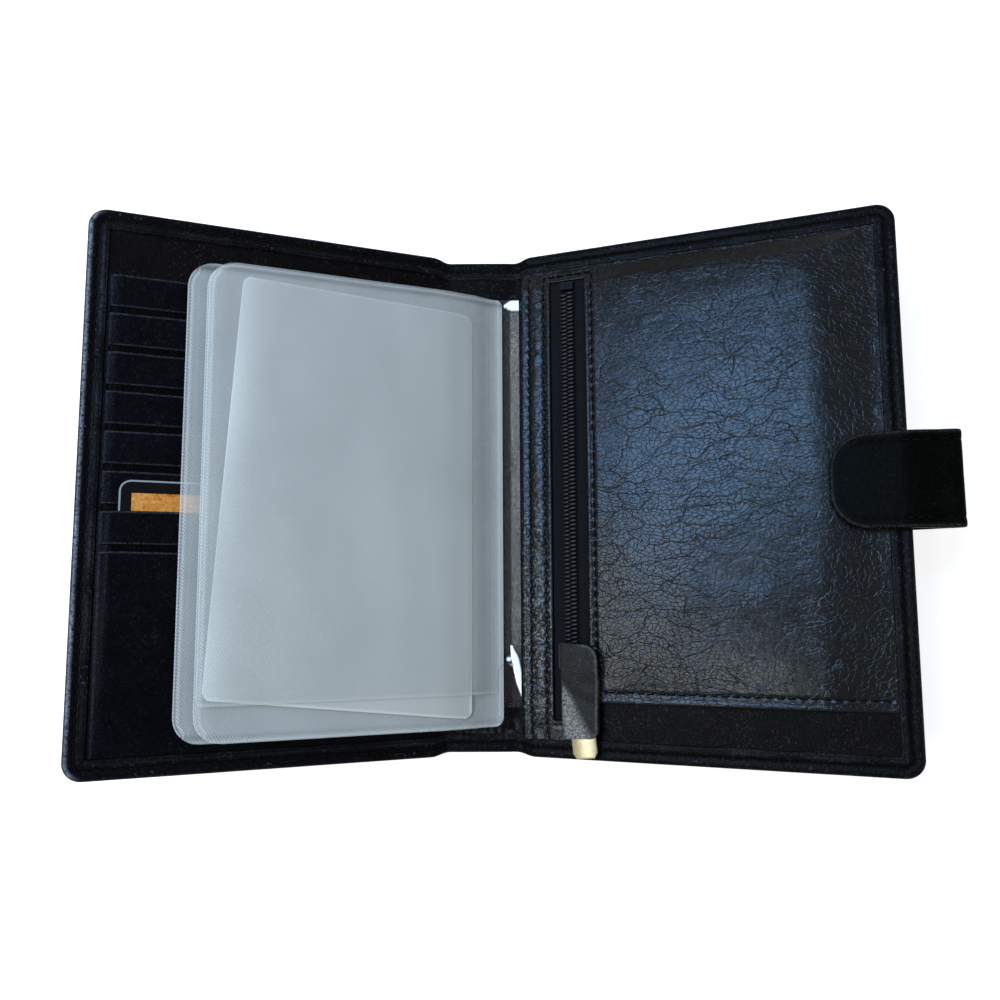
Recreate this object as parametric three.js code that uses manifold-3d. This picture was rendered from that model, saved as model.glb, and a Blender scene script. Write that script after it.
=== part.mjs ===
// An open travel document wallet. It lies on its spine with both covers raised in a shallow V.
// Left cover: eight card slots, one card and a clear insert. Right cover: zip pocket and strap.
// Millimetres. X runs across, Y along the height of the wallet, +Z up.
// The origin is the centre of the spine's underside.
import * as THREE from 'three';
import { mergeVertices } from 'three/addons/utils/BufferGeometryUtils.js';
import Module from 'manifold-3d';

const wasm = await Module();
wasm.setup();

// Covers and spine. Widths run from the fold axis to the fore edge. Margins run from the wallet's
// upper or lower edge, or from the left fore edge, so that pieces keep their place when it grows.
const walletHeight = 150;
const halfHeight = walletHeight / 2;
const spineInset = 1.1;
const foldSpacing = 23;
const foldRadius = 1.3;
const leftWidth = 101;
const rightWidth = 107;
const leftRaise = 22.3;
const rightRaise = 21.4;
const cornerRadius = 5;
const leather = 0.9;
const board = 0.7;
const lining = 0.4;
const borderWidth = 5.6;
const borderThickness = 0.6;
const layerGap = 0.25;
const coverToFold = 1.6;

// Card slots. Each strip's top edge lies on the strip above it.
const slotCount = 8;
const slotPitch = 10.6;
const firstSlotEdge = halfHeight - 18;
const slotLength = 14;
const slotThickness = 0.45;
const slotNear = 3;
const frontPocketThickness = 0.6;
const frontPocketFoot = 0.5;

// The card in the seventh slot
const cardSlot = 7;
const cardWidth = 85.6;
const cardHeight = 54;
const cardThickness = 0.76;
const cardRadius = 3.18;
const cardNear = 5.1;
const cardShowing = 8.4;

// Clear insert: a binding flap on the spine and three leaves that start at one line.
const bindingThickness = 0.4;
const bindingNear = -5.2;
const bindingTop = halfHeight - 13;
const bindingBottom = 26 - halfHeight;
const bindingBevel = 3;
const leafHingeX = -3.5;
const leafRaise = 22;
const leafRise = 3.7;
const leafKnee = 10;
const leafFilm = 0.3;
const leafGap = 0.3;
const leafRadius = 7;
const leafTop = halfHeight - 13.6;
const leafBottom = 8.5 - halfHeight;
const rearLeafLength = leftWidth - 18.5;
const middleLeafLength = rearLeafLength - 4.9;
const frontLeafLength = middleLeafLength - 0.4;
const frontFilmBottom = 18 - halfHeight;
const leafWeld = 0.9;

// Loose sleeve in the front leaf's pocket
const sleeveWidth = 67;
const sleeveHeight = 113;
const sleeveTurn = 3.8;
const sleeveNear = 5.2;
const sleeveTop = leafTop - 7.2;
const sleeveRadius = 2;

// Zip pocket. The facing is C-shaped: the pocket panel closes the window's fourth side.
const bagThickness = 0.2;
const tapeThickness = 0.35;
const facingThickness = 0.7;
const facingNear = 2.2;
const windowNear = 10.8;
const windowFar = 21.4;
const windowTop = halfHeight - 9.6;
const windowBottom = 11 - halfHeight;
const windowRadius = 3;
const tapeUnderEdge = 1.3;
const coilWidth = 4.2;
const coilHeight = 1.2;
const coilPitch = 1.2;
const coilTooth = 0.9;
const coilMesh = 0.3;
const stopLength = 2.4;
const panelThickness = 0.8;
const panelTop = halfHeight - 6.2;
const panelBottom = 16 - halfHeight;
const panelRadius = 3;

// Zip slider and its pull. The leather is a tube round the plate; its upper layer runs on as a hood
// over the bail, and its top edge is cut at a slant.
const sliderY = 29.05 - halfHeight;
const sliderLength = 7.5;
const sliderWall = 0.9;
const sliderTopThickness = 0.7;
const sliderClearance = 0.25;
const bailWidth = 0.9;
const bailWire = 0.6;
const bailLength = 5.2;
const bailInside = 1.15;
const pullTurn = 6;
const pullPlateWidth = 7.2;
const pullPlateThickness = 0.6;
const pullPlateLength = 29.2;
const pullPlateChamfer = 1.6;
const pullBar = 0.6;
const pullEyeLength = 4.4;
const pullEyeWidth = 1.9;
const pullLeatherWidth = 10.4;
const pullLeatherWall = 0.8;
const pullLeatherBack = 0.6;
const pullTubeTop = 5.6;
const pullTubeBottom = 23;
const pullHoodRamp = 8.2;
const pullHoodNear = 4.6;
const pullHoodRise = 1.45;
const pullHoodLeft = 1.2;
const pullHoodSlant = 0.42;

// Closure strap, stitched to the back of the right cover and curled round its fore edge
const strapWidth = 25;
const strapThickness = 1.8;
const strapRootNear = 68;
const strapOut = 1.4;
const strapFirstLength = 10.85;
const strapSecondLength = 11.8;
const strapFirstAngle = 20;
const strapSecondAngle = 160;
const strapEndLength = 19.8;
const strapTipRadius = 9;
const strapRollGap = 0.15;
const strapMitre = 1.7;
const magnetRadius = 5;
const magnetThickness = 0.6;
const magnetClearance = 0.15;
const catchThickness = 0.6;
const catchFromEdge = 12.5;

// Levels inside a cover, above its fold axis
const foldX = foldSpacing / 2;
const coverBottom = -foldRadius;
const boardLow = coverBottom + leather + layerGap;
const boardHigh = boardLow + board;
const liningLow = boardHigh + layerGap;
const liningHigh = liningLow + lining;
const borderLow = liningHigh + layerGap;
const borderHigh = borderLow + borderThickness;
const shownHeight = halfHeight - borderWidth - layerGap;
const throughCut = 1;
const cornerSteps = 6;

// Levels of the spine, above the table
const spineBoardHigh = leather + board;
const spineLiningHigh = spineBoardHigh + lining;
const spineBorderHigh = spineLiningHigh + borderThickness;
const spineEdge = foldX - foldRadius;
const spineHalfHeight = halfHeight - spineInset;

const materials = {
  outerLeather: finish(0x121113, 0.42, 0),
  liningLeather: finish(0x161517, 0.55, 0),
  glossLeather: finish(0x0c0d10, 0.25, 0),
  greyBoard: finish(0x6d675e, 0.9, 0),
  cloth: finish(0x1a1a1c, 0.95, 0),
  tape: finish(0x101011, 0.9, 0),
  nylon: finish(0x1b1b1d, 0.5, 0),
  clearPlastic: finish(0xa9b3b8, 0.35, 0),
  cardPlastic: finish(0x26282c, 0.35, 0),
  blackMetal: finish(0x1e1e20, 0.35, 1),
  paleMetal: finish(0xcfc49a, 0.3, 1),
  magnetSteel: finish(0x8c8f93, 0.4, 1),
};

function finish(color, roughness, metalness) {
  return new THREE.MeshStandardMaterial({ color, roughness, metalness });
}

function radians(degrees) {
  return THREE.MathUtils.degToRad(degrees);
}

// Outlines are lists of [x, y] points.

function rectangle(near, far, low, high) {
  return [[near, low], [far, low], [far, high], [near, high]];
}

// A rectangle with rounded corners; radii run near-low, far-low, far-high, near-high.
function roundedRectangle(near, far, low, high, radii) {
  const corners = [[near, low, 1, 1], [far, low, -1, 1], [far, high, -1, -1], [near, high, 1, -1]];
  const points = [];
  corners.forEach(([x, y, inX, inY], corner) => {
    const radius = radii[corner];
    const steps = radius > 0 ? cornerSteps : 0;
    for (let step = 0; step <= steps; step += 1) {
      const turn = Math.PI + (corner + (steps ? step / steps : 0)) * Math.PI / 2;
      const centreX = x + inX * radius;
      const centreY = y + inY * radius;
      points.push([centreX + radius * Math.cos(turn), centreY + radius * Math.sin(turn)]);
    }
  });
  return points;
}

function circle(x, y, radius, sides) {
  const points = [];
  for (let side = 0; side < sides; side += 1) {
    const turn = (side * 2 * Math.PI) / sides;
    points.push([x + radius * Math.cos(turn), y + radius * Math.sin(turn)]);
  }
  return points;
}

function turned(points, degrees, x, y) {
  const cos = Math.cos(radians(degrees));
  const sin = Math.sin(radians(degrees));
  return points.map(([px, py]) => [
    x + (px - x) * cos - (py - y) * sin,
    y + (px - x) * sin + (py - y) * cos,
  ]);
}

function mirrored(points, side) {
  return points.map(([x, y]) => [side * x, y]);
}

function extrude(points, depth) {
  const shape = new THREE.Shape(points.map(([x, y]) => new THREE.Vector2(x, y)));
  return new THREE.ExtrudeGeometry(shape, { depth, bevelEnabled: false, steps: 1 });
}

// A flat piece: outline in X and Y, thickness from low to high along Z.
function slab(points, low, high) {
  return extrude(points, high - low).translate(0, 0, low);
}

// A piece of one section in X and Z, running along Y.
function alongY(points, low, high) {
  return extrude(points, high - low).rotateX(Math.PI / 2).translate(0, high, 0);
}

// A piece of one section in Y and Z, running along X.
function alongX(points, low, high) {
  return extrude(points, high - low).rotateX(Math.PI / 2).rotateZ(Math.PI / 2).translate(low, 0, 0);
}

function solidOf(geometry) {
  const bare = geometry.clone();
  bare.deleteAttribute('normal');
  bare.deleteAttribute('uv');
  const merged = mergeVertices(bare, 1e-5);
  return new wasm.Manifold(new wasm.Mesh({
    numProp: 3,
    vertProperties: new Float32Array(merged.attributes.position.array),
    triVerts: new Uint32Array(merged.index.array),
  }));
}

function geometryOf(solid) {
  const mesh = solid.getMesh();
  const geometry = new THREE.BufferGeometry();
  geometry.setAttribute('position', new THREE.BufferAttribute(mesh.vertProperties, 3));
  geometry.setIndex(new THREE.BufferAttribute(mesh.triVerts, 1));
  geometry.computeVertexNormals();
  return geometry;
}

function cut(geometry, ...tools) {
  return geometryOf(tools.reduce((left, tool) => left.subtract(solidOf(tool)), solidOf(geometry)));
}

function join(geometry, ...others) {
  return geometryOf(others.reduce((sum, other) => sum.add(solidOf(other)), solidOf(geometry)));
}

function overlap(geometry, other) {
  return geometryOf(solidOf(geometry).intersect(solidOf(other)));
}

function addPiece(parent, name, geometry, material) {
  const mesh = new THREE.Mesh(geometry, material);
  mesh.name = name;
  parent.add(mesh);
  return mesh;
}

const wallet = new THREE.Group();

// Spine: one strip of leather with turned ends over a board, and the two folds beside it.

function spineLeather() {
  const ends = spineHalfHeight;
  const body = slab(rectangle(-spineEdge, spineEdge, -ends, ends), 0, spineBorderHigh);
  const hollowX = spineEdge + throughCut;
  const hollowY = ends - leather;
  const hollow = slab(rectangle(-hollowX, hollowX, -hollowY, hollowY), leather, spineLiningHigh);
  const openY = halfHeight - borderWidth;
  const open = slab(rectangle(-hollowX, hollowX, -openY, openY), leather, spineBorderHigh + throughCut);
  return cut(body, hollow, open);
}

function addSpine() {
  const layerY = spineHalfHeight - leather - layerGap;
  const layer = rectangle(-spineEdge, spineEdge, -layerY, layerY);
  addPiece(wallet, 'spine_leather', spineLeather(), materials.outerLeather);
  addPiece(wallet, 'spine_board', slab(layer, leather, spineBoardHigh), materials.greyBoard);
  addPiece(wallet, 'spine_lining', slab(layer, spineBoardHigh, spineLiningHigh), materials.liningLeather);
  const foldSides = 16;
  for (const [name, side] of [['left_fold', -1], ['right_fold', 1]]) {
    const section = circle(side * foldX, foldRadius, foldRadius, foldSides);
    addPiece(wallet, name, alongY(section, -spineHalfHeight, spineHalfHeight), materials.outerLeather);
  }
}

// Covers are built in groups whose origin is the fold axis; side is -1 on the left and 1 on the right.

function coverGroup(side, raise) {
  const group = new THREE.Group();
  group.position.set(side * foldX, 0, foldRadius);
  group.rotation.y = -side * radians(raise);
  wallet.add(group);
  return group;
}

function coverOutline(side, width, inset) {
  const radius = cornerRadius - inset;
  const far = width - inset;
  const high = halfHeight - inset;
  return mirrored(roundedRectangle(coverToFold, far, -high, high, [0, radius, radius, 0]), side);
}

function coverLeather(side, width) {
  const body = slab(coverOutline(side, width, 0), coverBottom, borderHigh);
  const nearCut = side * (coverToFold - throughCut);
  const hollow = slab(coverOutline(side, width, leather), coverBottom + leather, borderLow);
  const edgeY = halfHeight - leather;
  const nearEdge = side * (coverToFold + cornerRadius);
  const mouth = slab(rectangle(nearCut, nearEdge, -edgeY, edgeY), coverBottom + leather, borderLow);
  const openY = halfHeight - borderWidth;
  const openX = side * (width - borderWidth);
  const open = slab(rectangle(nearCut, openX, -openY, openY), liningHigh, borderHigh + throughCut);
  return cut(body, hollow, mouth, open);
}

function addCover(group, prefix, side, width) {
  const inside = coverOutline(side, width, leather + layerGap);
  addPiece(group, `${prefix}_cover_leather`, coverLeather(side, width), materials.outerLeather);
  addPiece(group, `${prefix}_cover_lining`, slab(inside, liningLow, liningHigh), materials.liningLeather);
  return slab(inside, boardLow, boardHigh);
}

// Heights of the card slots above the left lining. Every strip rises by the same slope.
const slotSlope = (slotThickness + layerGap) / slotPitch;
const slotRise = layerGap + slotLength * slotSlope;
const cardEdgeY = firstSlotEdge - (cardSlot - 1) * slotPitch + cardShowing;
const cardOverStrip = slotPitch - cardShowing;
const cardHeadRise = slotRise + slotThickness + layerGap - cardOverStrip * slotSlope;
const cardSlope = (cardHeadRise - layerGap) / cardHeight;

function slotEdgeY(number) {
  return firstSlotEdge - (number - 1) * slotPitch;
}

// Height of the card's upper face at a place along Y.
function cardFaceRise(y) {
  return cardHeadRise - (cardEdgeY - y) * cardSlope + cardThickness;
}

function slotSection(number) {
  const edge = slotEdgeY(number);
  const foot = edge - slotLength;
  let headRise = slotRise;
  let footRise = layerGap;
  if (number >= cardSlot) {
    headRise = cardFaceRise(edge) + layerGap;
    footRise = headRise - slotLength * cardSlope;
  }
  return { edge, foot, headRise, footRise, thickness: slotThickness };
}

function frontPocketSection() {
  const above = slotSection(slotCount - 1);
  const edge = slotEdgeY(slotCount);
  const foot = -shownHeight;
  const aboveRise = above.headRise - slotPitch * (above.headRise - above.footRise) / slotLength;
  const headRise = aboveRise + slotThickness + layerGap;
  return { edge, foot, headRise, footRise: frontPocketFoot, thickness: frontPocketThickness };
}

function addCardSlots(group) {
  const far = leftWidth - borderWidth - layerGap;
  for (let number = 1; number <= slotCount; number += 1) {
    const section = number === slotCount ? frontPocketSection() : slotSection(number);
    const { edge, foot, headRise, footRise, thickness } = section;
    const profile = [
      [foot, liningHigh + footRise],
      [edge, liningHigh + headRise],
      [edge, liningHigh + headRise + thickness],
      [foot, liningHigh + footRise + thickness],
    ];
    addPiece(group, `card_slot_${number}`, alongX(profile, -far, -slotNear), materials.liningLeather);
  }
}

function addCard(group) {
  const halfWidth = cardWidth / 2;
  const half = cardHeight / 2;
  const radii = Array(4).fill(cardRadius);
  const outline = roundedRectangle(-halfWidth, halfWidth, -half, half, radii);
  const card = addPiece(group, 'travel_card', slab(outline, 0, cardThickness), materials.cardPlastic);
  const middleRise = cardHeadRise - half * cardSlope;
  card.position.set(-(cardNear + halfWidth), cardEdgeY - half, liningHigh + middleRise);
  card.rotation.x = Math.atan(cardSlope);
}

function addLeftCover() {
  const group = coverGroup(-1, leftRaise);
  const boardSlab = addCover(group, 'left', -1, leftWidth);
  const catchX = -(leftWidth - catchFromEdge);
  const hole = circle(catchX, 0, magnetRadius + magnetClearance, 32);
  const plate = circle(catchX, 0, magnetRadius, 32);
  const boardHole = slab(hole, boardLow - throughCut, boardHigh + throughCut);
  addPiece(group, 'left_cover_board', cut(boardSlab, boardHole), materials.greyBoard);
  addPiece(group, 'catch_plate', slab(plate, boardLow, boardLow + catchThickness), materials.magnetSteel);
  addCardSlots(group);
  addCard(group);
}

// Clear insert. In a leaf's frame X runs back towards the spine, so a leaf lies at negative X.

function leafBand(low, high, near, far) {
  const rise = (length) => Math.min(length / leafKnee, 1) * leafRise;
  const stations = [near];
  if (near < leafKnee && far > leafKnee) stations.push(leafKnee);
  stations.push(far);
  const lower = stations.map((length) => [-length, low + rise(length)]);
  const upper = stations.map((length) => [-length, high + rise(length)]).reverse();
  return alongY([...lower, ...upper], -halfHeight, halfHeight);
}

function leafSheet(outline, low, high, near, far) {
  const tall = foldSpacing;
  return overlap(leafBand(low, high, near, far), slab(mirrored(outline, -1), -tall, tall));
}

function leafOutline(length, bottom) {
  const small = leafRadius / 4;
  return roundedRectangle(0, length, bottom, leafTop, [small, leafRadius, leafRadius, small]);
}

// The front leaf is welded on three sides; its slit is open at the bottom, below a shorter film.
function frontLeaf(low) {
  const slitLow = low + leafFilm;
  const slitHigh = slitLow + leafFilm + 2 * leafGap;
  const high = slitHigh + leafFilm;
  const length = frontLeafLength;
  const body = leafSheet(leafOutline(length, leafBottom), low, high, 0, length);
  const slitFar = length - leafWeld;
  const slitBottom = leafBottom - throughCut;
  const slitTop = leafTop - leafWeld;
  const slitOutline = rectangle(leafWeld, slitFar, slitBottom, slitTop);
  const slit = leafSheet(slitOutline, slitLow, slitHigh, leafWeld, slitFar);
  const farOpen = length + throughCut;
  const mouthOutline = rectangle(-throughCut, farOpen, slitBottom, frontFilmBottom);
  const mouth = leafSheet(mouthOutline, slitLow, high + throughCut, -throughCut, farOpen);
  return cut(body, slit, mouth);
}

function looseSleeve(low) {
  const far = sleeveNear + sleeveWidth;
  const bottom = sleeveTop - sleeveHeight;
  const radii = Array(4).fill(sleeveRadius);
  const upright = roundedRectangle(sleeveNear, far, bottom, sleeveTop, radii);
  const centreX = (sleeveNear + far) / 2;
  const centreY = (bottom + sleeveTop) / 2;
  const outline = turned(upright, sleeveTurn, centreX, centreY);
  return leafSheet(outline, low, low + leafFilm, 0, frontLeafLength);
}

function addInsert() {
  const bindingFar = spineEdge - layerGap;
  const bevel = bindingBevel;
  const flap = [
    [bindingNear, bindingBottom], [bindingFar, bindingBottom - bevel], [bindingFar, bindingTop],
    [bindingNear + bevel, bindingTop], [bindingNear, bindingTop - bevel],
  ];
  const flapHigh = spineLiningHigh + bindingThickness;
  addPiece(wallet, 'insert_binding', slab(flap, spineLiningHigh, flapHigh), materials.clearPlastic);

  const group = new THREE.Group();
  group.position.set(leafHingeX, 0, flapHigh + layerGap);
  group.rotation.y = radians(leafRaise);
  wallet.add(group);
  const leafThickness = 2 * leafFilm;
  const middleLow = leafThickness + leafGap;
  const frontLow = middleLow + leafThickness + leafGap;
  const rear = leafSheet(leafOutline(rearLeafLength, leafBottom), 0, leafThickness, 0, rearLeafLength);
  const middleOutline = leafOutline(middleLeafLength, leafBottom);
  const middleHigh = middleLow + leafThickness;
  const middle = leafSheet(middleOutline, middleLow, middleHigh, 0, middleLeafLength);
  addPiece(group, 'rear_leaf', rear, materials.clearPlastic);
  addPiece(group, 'middle_leaf', middle, materials.clearPlastic);
  addPiece(group, 'front_leaf', frontLeaf(frontLow), materials.clearPlastic);
  const sleeveLow = frontLow + leafFilm + leafGap;
  addPiece(group, 'loose_sleeve', looseSleeve(sleeveLow), materials.clearPlastic);
}

// Zip pocket. Heights above the right cover's fold axis, from the lining up.
const bagLow = liningHigh + layerGap;
const bagHigh = bagLow + bagThickness;
const tapeLow = bagHigh + layerGap;
const tapeHigh = tapeLow + tapeThickness;
const facingLow = tapeHigh + layerGap;
const facingHigh = facingLow + facingThickness;
const coilLow = tapeHigh + layerGap;
const coilHigh = coilLow + coilHeight;
const zipMiddle = (windowNear + windowFar) / 2;

function zipFacing() {
  const outline = rectangle(facingNear, windowFar, -shownHeight, shownHeight);
  const past = windowFar + windowRadius + throughCut;
  const radii = Array(4).fill(windowRadius);
  const window = roundedRectangle(windowNear, past, windowBottom, windowTop, radii);
  const opening = slab(window, facingLow - throughCut, facingHigh + throughCut);
  return cut(slab(outline, facingLow, facingHigh), opening);
}

// One row of the coil: a bar whose inner edge zigzags in mesh with the other row.
function coilRow(side, low, high) {
  const outer = coilWidth / 2;
  const count = Math.floor((high - low) / coilPitch);
  const pitch = (high - low) / count;
  const middle = side * coilMesh / 2;
  const points = [[side * outer, low]];
  for (let tooth = 0; tooth < count; tooth += 1) {
    const y = low + tooth * pitch;
    points.push([middle - coilTooth / 2, y]);
    points.push([middle + coilTooth / 2, y + pitch / 2]);
  }
  points.push([middle - coilTooth / 2, high]);
  points.push([side * outer, high]);
  return points.map(([x, y]) => [x + zipMiddle, y]);
}

function addZip(group) {
  const tapeTop = windowTop + layerGap;
  const tapeBottom = windowBottom - layerGap;
  const coilTop = windowTop - windowRadius;
  const coilBottom = windowBottom + windowRadius;
  const sides = [
    ['left', -1, windowNear - tapeUnderEdge],
    ['right', 1, windowFar + tapeUnderEdge],
  ];
  for (const [name, side, edge] of sides) {
    const inner = zipMiddle + side * layerGap / 2;
    const tape = rectangle(Math.min(inner, edge), Math.max(inner, edge), tapeBottom, tapeTop);
    addPiece(group, `zip_tape_${name}`, slab(tape, tapeLow, tapeHigh), materials.tape);
    const row = coilRow(side, coilBottom + layerGap, coilTop - layerGap);
    addPiece(group, `zip_coil_${name}`, slab(row, coilLow, coilHigh), materials.nylon);
  }
  const half = coilWidth / 2;
  const stops = [
    ['zip_stop_joined', coilTop, coilTop + stopLength],
    ['zip_stop_closed', coilBottom - stopLength, coilBottom],
  ];
  for (const [name, low, high] of stops) {
    const stop = rectangle(zipMiddle - half, zipMiddle + half, low, high);
    addPiece(group, name, slab(stop, coilLow, coilHigh), materials.nylon);
  }
}

// The slider is a channel over the coil. Its bail is an arch that holds the pull's bar.
const sliderHalf = coilWidth / 2 + sliderClearance + sliderWall;
const sliderRoof = coilHigh + sliderClearance;
const sliderHigh = sliderRoof + sliderTopThickness;
const pullLow = sliderHigh + layerGap;
const pullAxisY = sliderY + bailLength / 2 - bailWire - pullBar / 2 - layerGap;
const pullAxisHeight = pullLow + pullPlateThickness / 2;

function sliderBody() {
  const low = sliderY - sliderLength / 2;
  const high = sliderY + sliderLength / 2;
  const near = zipMiddle - sliderHalf;
  const far = zipMiddle + sliderHalf;
  const radii = Array(4).fill(sliderWall);
  const body = slab(roundedRectangle(near, far, low, high, radii), coilLow, sliderHigh);
  const channel = rectangle(near + sliderWall, far - sliderWall, low - throughCut, high + throughCut);
  return cut(body, slab(channel, coilLow - throughCut, sliderRoof));
}

function sliderBail() {
  const low = sliderY - bailLength / 2;
  const high = sliderY + bailLength / 2;
  const underside = sliderHigh + bailInside;
  const top = underside + bailWire;
  const arch = [
    [low, sliderHigh], [low + bailWire, sliderHigh], [low + bailWire, underside],
    [high - bailWire, underside], [high - bailWire, sliderHigh], [high, sliderHigh],
    [high, top - bailWire / 2], [high - bailWire / 2, top],
    [low + bailWire / 2, top], [low, top - bailWire / 2],
  ];
  return alongX(arch, zipMiddle - bailWidth / 2, zipMiddle + bailWidth / 2);
}

function pullPlate() {
  const half = pullPlateWidth / 2;
  const end = -pullPlateLength;
  const head = pullBar / 2;
  const chamfer = pullPlateChamfer;
  const neck = half - chamfer;
  const outline = [
    [-neck, head], [-half, head - chamfer], [-half, end + chamfer], [-half + chamfer, end],
    [half - chamfer, end], [half, end + chamfer], [half, head - chamfer], [neck, head],
  ];
  const eyeHalf = pullEyeWidth / 2;
  const eye = rectangle(-eyeHalf, eyeHalf, -pullBar / 2 - pullEyeLength, -pullBar / 2);
  const low = -pullPlateThickness / 2;
  return cut(slab(outline, low, -low), slab(eye, low - throughCut, -low + throughCut));
}

// The tube, in the pull's frame: Y runs from the bar towards the slider's head.
function pullTube() {
  const half = pullLeatherWidth / 2;
  const inner = pullPlateThickness / 2 + layerGap;
  const radius = half / 2;
  const outline = roundedRectangle(-half, half, -pullTubeBottom, -pullTubeTop, [radius, radius, 0, 0]);
  const slot = pullPlateWidth / 2 + layerGap;
  const core = rectangle(-slot, slot, -pullTubeBottom - throughCut, -pullTubeTop + throughCut);
  const body = slab(outline, -inner - pullLeatherBack, inner + pullLeatherWall);
  return cut(body, slab(core, -inner, inner));
}

function pullHood() {
  const half = pullLeatherWidth / 2;
  const inner = pullPlateThickness / 2 + layerGap;
  const raised = pullHoodRise + pullLeatherWall;
  const section = [
    [-pullHoodRamp, inner], [-pullHoodNear, pullHoodRise], [pullHoodLeft, pullHoodRise],
    [pullHoodLeft, raised], [-pullHoodNear, raised], [-pullHoodRamp, inner + pullLeatherWall],
  ];
  const right = pullHoodLeft - pullHoodSlant * pullLeatherWidth;
  const beyond = pullHoodLeft + throughCut;
  const past = half + throughCut;
  const corner = [[-half, pullHoodLeft], [past, right - pullHoodSlant], [past, beyond], [-half, beyond]];
  return cut(alongX(section, -half, half), slab(corner, 0, raised + throughCut));
}

function pullLeather() {
  return join(pullTube(), pullHood());
}

function addSlider(group) {
  addPiece(group, 'zip_slider', sliderBody(), materials.blackMetal);
  addPiece(group, 'zip_bail', sliderBail(), materials.blackMetal);
  const pull = new THREE.Group();
  pull.position.set(zipMiddle, pullAxisY, pullAxisHeight);
  pull.rotation.z = radians(pullTurn);
  group.add(pull);
  addPiece(pull, 'zip_pull_plate', pullPlate(), materials.paleMetal);
  addPiece(pull, 'zip_pull_leather', pullLeather(), materials.liningLeather);
}

// Strap sections in the cover's X and height. Each stretch is a straight plate that ends in a roll
// of leather on the next fold line, and starts just past the roll of the stretch before it.
const strapRoll = strapThickness / 2;
const strapStart = strapRoll + strapRollGap;

function strapStretch(length, start, mitre, x, height, degrees) {
  const half = strapThickness / 2;
  const plate = [[start, -half], [length, -half], [length, half], [start + mitre, half]];
  const section = turned(plate, degrees, 0, 0).map(([px, py]) => [x + px, height + py]);
  const endX = x + length * Math.cos(radians(degrees));
  const endHeight = height + length * Math.sin(radians(degrees));
  const rollSides = 20;
  const low = -strapWidth / 2;
  const high = strapWidth / 2;
  const roll = circle(endX, endHeight, strapRoll, rollSides);
  return { endX, endHeight, geometry: join(alongY(section, low, high), alongY(roll, low, high)) };
}

function strapEnd(low, high) {
  const half = strapWidth / 2;
  const length = strapEndLength;
  const outline = roundedRectangle(strapStart, length, -half, half, [0, strapTipRadius, strapTipRadius, 0]);
  return slab(mirrored(outline, -1), low, high);
}

function addStrap(group) {
  const rootHeight = coverBottom - layerGap - strapThickness / 2;
  const rootLength = rightWidth + strapOut - strapRootNear;
  const root = strapStretch(rootLength, 0, 0, strapRootNear, rootHeight, 0);
  const first = strapStretch(strapFirstLength, strapStart, 0, root.endX, root.endHeight, strapFirstAngle);
  const second = strapStretch(
    strapSecondLength, strapStart, strapMitre, first.endX, first.endHeight, strapSecondAngle);
  addPiece(group, 'strap_root', root.geometry, materials.outerLeather);
  addPiece(group, 'strap_first_bend', first.geometry, materials.outerLeather);
  addPiece(group, 'strap_second_bend', second.geometry, materials.outerLeather);

  const end = new THREE.Group();
  end.position.set(second.endX, 0, second.endHeight);
  group.add(end);
  const middle = strapThickness / 2;
  const halfCore = magnetThickness / 2 + magnetClearance;
  const magnetX = -(strapEndLength - strapTipRadius);
  const pocket = circle(magnetX, 0, magnetRadius + magnetClearance, 32);
  const disc = circle(magnetX, 0, magnetRadius, 32);
  const seam = magnetClearance / 2;
  const upper = cut(strapEnd(seam, middle), slab(pocket, 0, halfCore));
  const lower = cut(strapEnd(-middle, -seam), slab(pocket, -halfCore, 0));
  addPiece(end, 'strap_end_outer', upper, materials.outerLeather);
  addPiece(end, 'strap_end_lining', lower, materials.liningLeather);
  addPiece(end, 'strap_magnet', slab(disc, -magnetThickness / 2, magnetThickness / 2), materials.magnetSteel);
}

function addRightCover() {
  const group = coverGroup(1, rightRaise);
  const boardSlab = addCover(group, 'right', 1, rightWidth);
  addPiece(group, 'right_cover_board', boardSlab, materials.greyBoard);
  const far = rightWidth - borderWidth - layerGap;
  const bag = rectangle(facingNear, far, panelBottom + panelRadius, shownHeight);
  addPiece(group, 'zip_pocket_bag', slab(bag, bagLow, bagHigh), materials.cloth);
  addPiece(group, 'zip_facing', zipFacing(), materials.liningLeather);
  const panelNear = windowFar + layerGap;
  const panel = roundedRectangle(panelNear, far, panelBottom, panelTop, [panelRadius, 0, 0, 0]);
  const panelHigh = facingLow + panelThickness;
  addPiece(group, 'pocket_panel', slab(panel, facingLow, panelHigh), materials.glossLeather);
  addZip(group);
  addSlider(group);
  addStrap(group);
}

addSpine();
addLeftCover();
addInsert();
addRightCover();

export default wallet;
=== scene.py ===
"""Looks of an open travel document wallet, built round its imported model.

Pieces are laid out in millimetres in the flat frame of a cover, leaf or strap, then bent into place.
"""
import math

import bpy
import numpy as np
from mathutils import Matrix, Quaternion, Vector


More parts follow.
